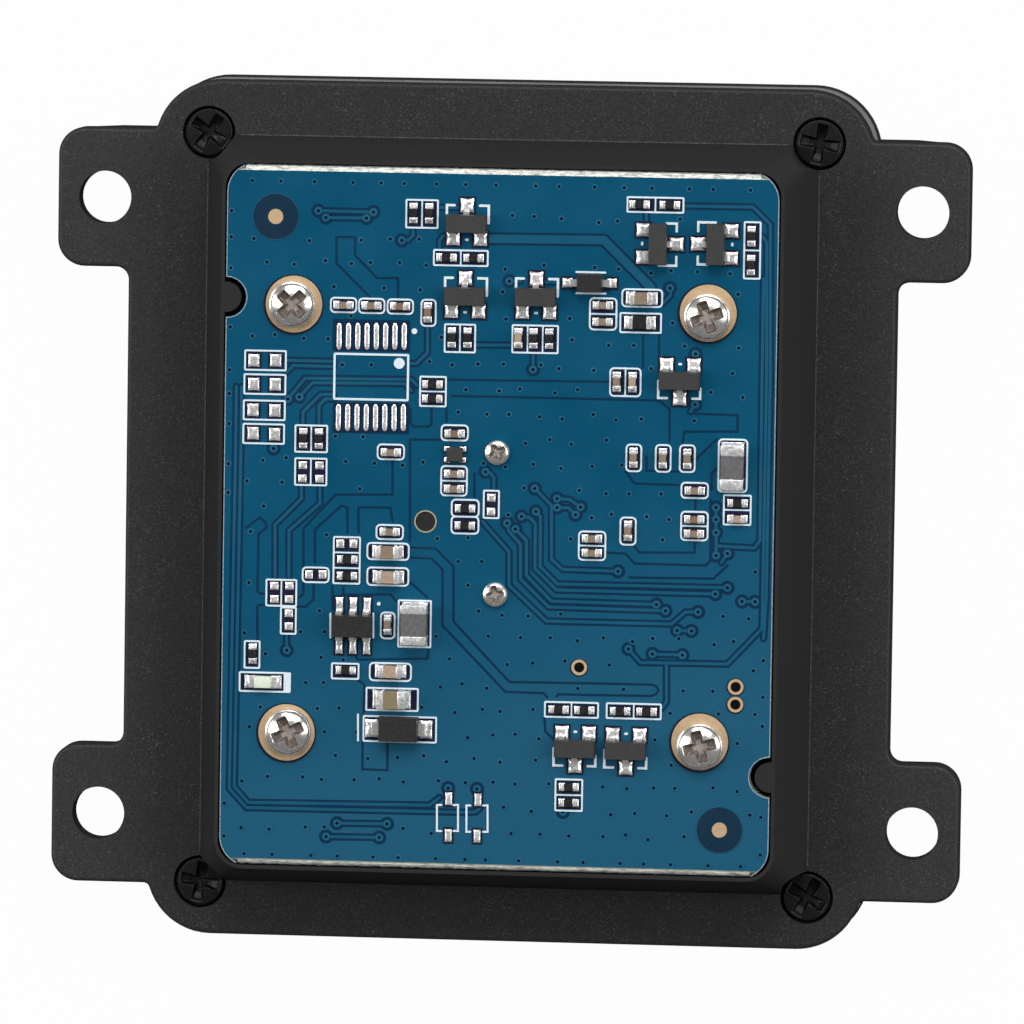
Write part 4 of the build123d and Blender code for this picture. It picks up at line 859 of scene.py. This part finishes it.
def cross_screw(piece, looks, at, radius, height, crown, cross, depth, turn, shank, shoulder):
    """Screw with a domed head on z = 0, a cross recess, and a threaded shank below.

    The looks are those of the head, the recess's walls and floor, its rim, and the groove round the head.
    The cross is the span of its arms and half their width at root and tip.
    The shank is its radius, length and pitch.
    """
    head, wall, floor, rim, groove = looks
    steps = 96
    angles = [2 * math.pi * i / steps for i in range(steps)]
    reach = [cross_reach(a - math.radians(turn), *cross) for a in angles]

    def loop(radii, heights):
        return [(r * math.cos(a), r * math.sin(a), h) for a, r, h in zip(angles, radii, heights)]

    def dome(r):
        return height - crown * (r / radius) ** 2.6

    lift = [dome(r) for r in reach]
    bevel = 0.03 * radius
    hollow = [loop([r * 0.46 for r in reach], [height - depth] * steps),
              loop([r * 0.86 for r in reach], [h - 0.5 * depth for h in lift]),
              loop([r - 0.4 * bevel for r in reach], [h - 1.6 * bevel for h in lift]),
              loop([r + bevel for r in reach], [dome(r + bevel) for r in reach])]
    rows = [hollow[-1]]
    for share in (0.3, 0.6, 0.85, 1.0):
        radii = [r + bevel + (shoulder * radius - r - bevel) * share for r in reach]
        rows.append(loop(radii, [dome(r) for r in radii]))
    edge = dome(shoulder * radius)
    for r, down in ((shoulder + 0.035, 0.07), (0.975, 0.09), (1.0, 0.16)):
        rows.append(loop([r * radius] * steps, [edge - down * radius] * steps))
    rows.append(loop([radius] * steps, [0.0] * steps))
    thick, length, pitch = shank
    rows.append(loop([thick] * steps, [0.0] * steps))
    turns = int(length / pitch)
    for i in range(turns):
        for r, h in ((0.84, 0.25), (0.84, 0.5), (1.0, 0.8), (1.0, 0.95)):
            rows.append(loop([thick * r] * steps, [-(i + h) * pitch] * steps))
    rows.append(loop([thick * 0.4] * steps, [-length] * steps))
    verts, faces = stack(hollow[:-1] + rows)
    piece.add((verts, faces), head, at)
    start = len(piece.mats) - len(faces)
    for first, last, look in ((0, 2, wall), (2, 3, rim), (7, 8, groove)):
        piece.paint(start + first * steps, start + last * steps, look)
    piece.paint(len(piece.mats) - 2, len(piece.mats) - 1, floor)


def screws():
    """Black screws in the corners, plated ones on the board, and tiny ones that hold the lens holder."""
    heads = Piece()
    # Recess walls and floor take darker copies of the head's black as painted shade, rim and groove a lighter
    # one as painted highlight
    black = ("black_screw", "pit_shade", "black_floor_shade", "black_edge_highlight", "black_edge_highlight")
    aside, along, sunk = 21.5, 26.5, 1.2
    turns = {(-1, -1): -10, (-1, 1): -35, (1, -1): -30, (1, 1): -10}
    for (sx, sy), turn in turns.items():
        cross_screw(heads, black, (sx * aside, sy * along, FLANGE - sunk), 1.65, 1.1, 0.06,
                    (1.42, 0.36, 0.44), 0.55, turn, (1.0, 3.1, 0.4), 0.95)
    heads.make("frame_screw_details", "black_screw", "frame_screws")
    # Recess walls, floor and the groove round the head take darker copies of the plated head as painted shade
    plated = ("screw", "recess", "recess_floor_shade", "screw", "recess")
    bright = Piece()
    for x, y, turn in BOARD_SCREWS:
        cross_screw(bright, plated, board_at(x, y), 1.62, 1.15, 0.5,
                    (1.14, 0.37, 0.4), 0.6, turn, (0.6, 5.2, 0.4), 0.88)
    bright.make("board_screw_details", "bright_screw", "board_screws")
    tiny = Piece()
    for y, turn in ((4.95, 30), (-4.95, 10)):
        cross_screw(tiny, plated, board_at(-0.1, y - 0.2), 0.85, 0.5, 0.18,
                    (0.64, 0.25, 0.17), 0.28, turn, (0.45, 4.0, 0.3), 0.87)
    tiny.make("lens_holder_screw_details", "bright_screw", "lens_holder_screws")


# Copper, mask and print

def pad(piece, bare, x, y, width, height, rise=0.05, border=0.24):
    """Tinned pad in its dark opening of the mask."""
    piece.add(solder_coat(width, height, rise), "solder", board_at(x, y, PAD_LEVEL))
    bare.lay(slab(plate(width + border, height + border, 0.05, 2)), "bare", CLEAR_LEVEL, x, y)


def transistor_place(place):
    """Pad centres and sizes of a three-lead package, and its printed marks."""
    x, y, turn = place
    spin = Matrix.Rotation(math.radians(turn), 2)
    pads = [(0.0, 1.25), (-0.95, -1.05), (0.95, -1.05)]
    marks = [[(-1.42, 0.55), (-1.42, 1.25), (-0.88, 1.25)],
             [(0.88, 1.25), (1.5, 1.25), (1.5, 0.05)],
             [(-0.05, -1.13), (0.06, -1.13)]]
    centres = [Vector((x, y)) + spin @ Vector(p) for p in pads]
    lines = [[tuple(Vector((x, y)) + spin @ Vector(p)) for p in line] for line in marks]
    size = (0.95, 1.0) if turn in (0, 180) else (1.0, 0.95)
    return centres, size, lines


def printed_box(ink, bare, box, corner):
    """Printed outline with its cells, each dark inside."""
    line, bar_line, margin = 0.12, 0.1, 0.24
    x, y, w, h, cells = box
    w, h = w - line, h - line
    outline = [(x + px, y + py) for px, py in plate(w, h, corner, 3)]
    ink.lay(ribbon(outline, line, closed=True), "silk", SILK_LEVEL)
    count = abs(cells)
    for i in range(count):
        shift = (i + 0.5) / count - 0.5
        cw, ch = (w / count, h) if cells > 0 else (w, h / count)
        cx, cy = (x + shift * w, y) if cells > 0 else (x, y + shift * h)
        cell = plate(cw - margin, ch - margin, max(0.03, corner - 0.1), 3)
        bare.lay(slab(cell), "bare", CLEAR_LEVEL, cx, cy)
        if i:
            edge = i / count - 0.5
            if cells > 0:
                bar = [(x + edge * w, y - h / 2), (x + edge * w, y + h / 2)]
            else:
                bar = [(x - w / 2, y + edge * h), (x + w / 2, y + edge * h)]
            ink.lay(ribbon(bar, bar_line), "silk", SILK_LEVEL)


def track_width(kind):
    """Width of a track of a kind."""
    return WIDE_TRACK_WIDTH if kind == "wide" else TRACK_WIDTH


def track_holes(kind, line):
    """The ends of a track that have a plated hole."""
    return [line[at] for at, kinds in ((0, ("start", "both")), (-1, ("end", "both"))) if kind in kinds]


def plated_hole(piece, x, y):
    """Ring of copper under the mask with its drilled hole."""
    piece.lay(washer(0.1, 0.22, 14), "via_ring", RING_LEVEL, x, y)
    piece.lay(slab(circle(0.12, steps=12)), "hole", HOLE_LEVEL, x, y)


def line_distance(spot, line):
    """Least distance of a spot from a line of straight stretches."""
    least = math.inf
    for start, end in zip(line, line[1:]):
        start, step = Vector(start), Vector(end) - Vector(start)
        share = max(0.0, min(1.0, (spot - start).dot(step) / step.length_squared))
        least = min(least, (start + step * share - spot).length)
    return least


def free_copper(x, y):
    """Whether a plated hole has room here."""
    spot = Vector((x, y))
    boxes = [box[:4] for box in ROUND_BOXES + SQUARE_BOXES] + DARK_FIELDS + KEPT_BOXES
    rounds = [(u, v, 1.75) for u, v, _ in TRANSISTORS] + [(u, v, 2.1) for u, v in GOLD_RINGS] + KEPT_ROUNDS
    return (
        all(abs(x - u) > w / 2 + HOLE_ROOM / 2 or abs(y - v) > h / 2 + HOLE_ROOM / 2 for u, v, w, h in boxes)
        and all(math.hypot(x - u, y - v) > radius + HOLE_ROOM / 2 for u, v, radius in rounds)
        and all(line_distance(spot, line) > track_width(kind) / 2 + HOLE_ROOM for kind, line in TRACKS)
        and all(line_distance(spot, line) > HOLE_ROOM for line in GAPS)
    )


def hole_places():
    """Centres of the plated holes that join the copper layers."""
    draw = random.Random(HOLE_SEED)

    def spread():
        return draw.uniform(-HOLE_SPREAD, HOLE_SPREAD)

    left, low = HOLE_EDGE_START
    across, up = HOLE_EDGE_PITCH
    places = [(x, low + up * i + spread()) for x in HOLE_EDGE_X for i in range(HOLE_EDGE_COUNT[1])]
    places += [(left + across * i + spread(), y) for y in HOLE_EDGE_Y for i in range(HOLE_EDGE_COUNT[0])]
    left, low = HOLE_START
    across, up = HOLE_PITCH
    for row in range(HOLE_COUNT[1]):
        for i in range(HOLE_COUNT[0]):
            x = left + across * (i + 0.5 * (row % 2)) + spread()
            places.append((x, low + up * row + spread() / 2))
    return [place for place in places if free_copper(*place)]


def copper():
    """Tracks between their dark gaps, single gaps, and plated holes."""
    art = Piece()
    ends = []
    for kind, line in TRACKS:
        art.lay(ribbon(line, track_width(kind) + 2 * TRACK_GAP, ends=True), "gap", GAP_LEVEL)
        art.lay(ribbon(line, track_width(kind), ends=True), "trace", TRACE_LEVEL)
        for spot in track_holes(kind, line):
            art.lay(slab(circle(0.29 + TRACK_GAP + 0.05)), "gap", GAP_LEVEL, *spot)
            art.lay(slab(circle(0.29)), "trace", TRACE_LEVEL, *spot)
            plated_hole(art, *spot)
            ends.append(spot)
    for line in GAPS:
        art.lay(ribbon(line, TRACK_GAP, ends=True), "gap", GAP_LEVEL)
    for x, y, w, h in DARK_FIELDS:
        art.lay(slab(plate(w, h, 0.1)), "gap", GAP_LEVEL, x, y)
    art.make("copper_tracks", "board")
    drilled = Piece()
    for x, y in hole_places():
        if all(math.hypot(x - u, y - v) >= HOLE_APART for u, v in ends):
            plated_hole(drilled, x, y)
    drilled.make("plated_holes", "board")


def chip_footprint(ink, bare, tin):
    """Two rows of long pads for a chip that isn't fitted, its printed outline and two dots."""
    for i in range(8):
        for x, y in ((-11.28, 12.62), (-11.26, 6.95)):
            pad(tin, bare, x + 0.65 * i, y + 0.012 * i, 0.34, 1.85, 0.05, 0.12)
    outline = [(-9.0 + px, 9.83 + py) for px, py in plate(5.15, 3.14, 0.04, 2)]
    ink.lay(ribbon(outline, 0.15, closed=True), "silk", SILK_LEVEL)
    for radius, x, y in ((0.38, -7.05, 10.82), (0.2, -6.02, 13.08)):
        ink.lay(slab(circle(radius)), "silk", SILK_LEVEL, x, y)


def regulator_footprint(ink, bare, tin):
    """Six pads and a printed dot, and the bar beside the indicator lamp."""
    ink.lay(slab(circle(0.13)), "silk", SILK_LEVEL, -8.25, -6.0)
    ink.lay(slab(plate(0.5, 1.44, 0.1)), "silk", SILK_LEVEL, -14.6, -11.67)
    x, y = REGULATOR
    for side in (-1, 1):
        for i in (-1, 0, 1):
            pad(tin, bare, x + 0.97 * i, y + side * 1.42, 0.52, 1.15, 0.1)


def board_art():
    """Printed outlines, dark openings of the mask and tinned pads."""
    ink, bare, tin = Piece(), Piece(), Piece()
    for boxes, corner in ((ROUND_BOXES, 0.26), (SQUARE_BOXES, 0.06)):
        for box in boxes:
            printed_box(ink, bare, box, corner)
    for size, places in EMPTY_PADS:
        for x, y in places:
            pad(tin, bare, x, y, *size)
    for place in TRANSISTORS:
        centres, size, lines = transistor_place(place)
        for p in centres:
            pad(tin, bare, p.x, p.y, *size, rise=0.14)
        for line in lines:
            ink.lay(ribbon(line, 0.17, ends=True), "silk", SILK_LEVEL)
    chip_footprint(ink, bare, tin)
    regulator_footprint(ink, bare, tin)
    large_diode, small_diode = (0.95, 1.3), (0.7, 0.65)
    for x, y, size in ((-8.62, -14.72, large_diode), (-4.84, -14.72, large_diode),
                       (4.6, 16.67, small_diode), (7.7, 16.7, small_diode)):
        pad(tin, bare, x, y, *size, 0.1)
    for x, y in ((-3.6, 4.93), (-2.5, 4.93), (-3.6, 4.17), (-2.5, 4.17)):
        pad(tin, bare, x, y, 0.45, 0.36, 0.04, 0.14)
    for line in PRINT_LINES:
        ink.lay(ribbon(line, 0.13, ends=True), "silk", SILK_LEVEL)
    ink.make("white_print_lines", "capacitor")
    tin.make("tinned_pads", "tin_lead")
    for x, y in GOLD_RINGS:
        bare.lay(washer(1.2, 2.1), "bare", CLEAR_LEVEL, x - 0.04, y - 0.04)
    bare.make("pad_clearances", "board")


def rings():
    """Gold rings under the screws, placing marks, test points and the peg's lined hole."""
    metal = Piece()
    for x, y in GOLD_RINGS:
        metal.lay(washer(0.95, 1.98), "gold", GOLD_LEVEL, x, y)
    for x, y in MARK_DISCS:
        metal.lay(washer(1.55, 1.64), "via_ring", CLEAR_LEVEL, x, y)
        metal.lay(slab(circle(1.6, steps=48)), "disc", DISC_LEVEL, x, y)
        metal.lay(slab(circle(0.53)), "gold", GOLD_LEVEL, x, y)
    for x, y in TEST_POINTS:
        metal.lay(washer(0.36, 0.62), "bare", CLEAR_LEVEL, x - 0.02, y - 0.02)
        metal.lay(washer(0.36, 0.55), "gold", GOLD_LEVEL, x, y)
        # Painted shade: a near-black disc stands for the test point's hole
        metal.lay(slab(circle(0.38)), "pit_shade", HOLE_LEVEL, x, y)
    metal.lay(washer(0.69, 0.79), "rim", RING_LEVEL, *LENS_PEG)
    metal.make("gold_rings", "pin")


def arc(x, y, radius, start, end, steps=10):
    """Points on an arc between two angles in degrees."""
    angles = [math.radians(start + (end - start) * i / steps) for i in range(steps + 1)]
    return [(x + radius * math.cos(a), y + radius * math.sin(a)) for a in angles]


def board_edges():
    """Pale rim along the routed sides and round the notches, and rough strips where the board was snapped."""
    rims = Piece()
    aside, along, corner = HALF_X - 2.1, HALF_Y - 1.9, 2.06
    for sign in (-1, 1):
        line = arc(aside, -along, corner, -64, 0)
        line += arc(HALF_X - 0.04, NOTCHES[sign], 1.44, 270, 90, 16)
        line += arc(aside, along, corner, 0, 64)
        rims.lay(ribbon([(sign * x, y) for x, y in line], 0.06), "edge_line", RING_LEVEL)
    rims.make("board_rim_lines", "board")
    strips = Piece()
    count, half_length = 120, 17.95
    for sign, inner in ((-1, 0.29), (1, 0.37)):

        def section(s, t, sign=sign, inner=inner):
            x = -sign * half_length * (2 * s - 1)
            rough = noise.noise(Vector((x * 2.5, sign * 7.0, 3.0)))
            fuzz = noise.noise(Vector((x * 9.0, sign * 7.0, 8.0)))
            spots = ((HALF_Y + 0.03 + 0.05 * rough + 0.03 * fuzz, -0.34),
                     (HALF_Y - 0.08 + 0.05 * fuzz, -0.12 + 0.06 * rough),
                     (HALF_Y - 0.22 + 0.03 * fuzz, 0.0), (HALF_Y - inner + 0.02 * rough, 0.02))
            y, z = spots[round(t * 3)]
            return (x, sign * y, z)

        strips.add(sheet(count, 3, section, -0.5), "score", board_at(0, 0))
    strips.make("snapped_edge_strips", "board")


def crease_highlight_lines():
    """Painted highlight: a fine bright line along the crease where the raised walls meet the flange."""
    lines = Piece()
    foot_x, foot_y = 21.52, 26.37
    for start, end in (((-foot_x, -24.3), (-foot_x, 24.3)), ((foot_x, -24.3), (foot_x, 24.3)),
                       ((-19.3, foot_y), (19.3, foot_y))):
        lines.add(ribbon([start, end], 0.09), "crease_highlight", (0, 0, FLANGE + 0.03), 0, False)
    lines.make("flange_crease_highlights", "black_shell")


# Stage

def stage():
    """Pale floor that takes the object's shadow and is white to the camera and in reflections."""
    reach, drop, grey, glow_share = 4.0, 0.00005, 0.45, 0.98
    mesh = bpy.data.meshes.new("studio_floor")
    corners = [(-reach, -reach, 0), (reach, -reach, 0), (reach, reach, 0), (-reach, reach, 0)]
    mesh.from_pydata(corners, [], [[0, 1, 2, 3]])
    floor = bpy.data.objects.new("studio_floor", mesh)
    bpy.context.scene.collection.objects.link(floor)
    floor.location.z = -drop
    mat = bpy.data.materials.new("pale_floor")
    mat.use_nodes = True
    nodes, links = mat.node_tree.nodes, mat.node_tree.links
    nodes.clear()
    out, mix, diffuse, glow, path = (nodes.new("ShaderNode" + kind) for kind in (
        "OutputMaterial", "MixShader", "BsdfDiffuse", "Emission", "LightPath"))
    diffuse.inputs["Color"].default_value = (grey, grey, grey, 1)
    share = path.outputs["Is Camera Ray"]
    for operation, other in (("MAXIMUM", path.outputs["Is Glossy Ray"]),
                             ("MAXIMUM", path.outputs["Is Transmission Ray"]), ("MULTIPLY", glow_share)):
        step = nodes.new("ShaderNodeMath")
        step.operation = operation
        links.new(share, step.inputs[0])
        if isinstance(other, float):
            step.inputs[1].default_value = other
        else:
            links.new(other, step.inputs[1])
        share = step.outputs[0]
    for source, target in ((share, mix.inputs["Fac"]), (diffuse.outputs[0], mix.inputs[1]),
                           (glow.outputs[0], mix.inputs[2]), (mix.outputs[0], out.inputs["Surface"])):
        links.new(source, target)
    mesh.materials.append(mat)


def lamp_panel(name, place, width, height, power):
    """A soft rectangular lamp that faces the part."""
    data = bpy.data.lights.new(name, "AREA")
    data.shape = "RECTANGLE"
    data.size, data.size_y = width, height
    data.energy = power
    lamp = bpy.data.objects.new(name, data)
    bpy.context.scene.collection.objects.link(lamp)
    lamp.location = place
    lamp.rotation_mode = "QUATERNION"
    lamp.rotation_quaternion = (-Vector(place)).to_track_quat("-Z", "Y")


def lights():
    """Faint white world, a panel above and one on each side."""
    world = bpy.data.worlds.new("studio")
    world.use_nodes = True
    shade = world.node_tree.nodes["Background"]
    shade.inputs["Color"].default_value = (1, 1, 1, 1)
    shade.inputs["Strength"].default_value = 0.11
    bpy.context.scene.world = world
    lamp_panel("top_panel", (0.05, 0.62, 0.62), 0.8, 0.45, 5.9)
    lamp_panel("left_panel", (-0.7, 0.1, 0.5), 0.4, 0.7, 3.7)
    lamp_panel("right_panel", (0.7, 0.1, 0.5), 0.4, 0.7, 3.7)


def camera():
    """View from the rear, a little from the right and from above, as in the photograph."""
    tilt_x, tilt_y, roll = 0.0807829, -0.096765, -0.0227301
    distance, focal = 0.67905, 9662.07  # metres, and pixels of the photograph
    turn = Matrix.Rotation(roll, 3, "Z") @ Matrix.Rotation(tilt_y, 3, "Y") @ Matrix.Rotation(tilt_x, 3, "X")
    turn.transpose()
    target = Vector((0.0002969, 0.0002094, 0.0072))
    data = bpy.data.cameras.new("photo_camera")
    photo_width, sensor = 1024, 36.0
    data.sensor_width = sensor
    data.lens = focal / photo_width * sensor
    data.clip_start, data.clip_end = 0.01, 20.0
    made = bpy.data.objects.new("photo_camera", data)
    bpy.context.scene.collection.objects.link(made)
    made.matrix_world = Matrix.Translation(target + turn @ Vector((0, 0, distance))) @ turn.to_4x4()
    bpy.context.scene.camera = made


paint_nodes()
small_parts()
screws()
copper()
board_art()
rings()
board_edges()
crease_highlight_lines()
stage()
lights()
camera()
bpy.context.scene.view_settings.view_transform = "Standard"
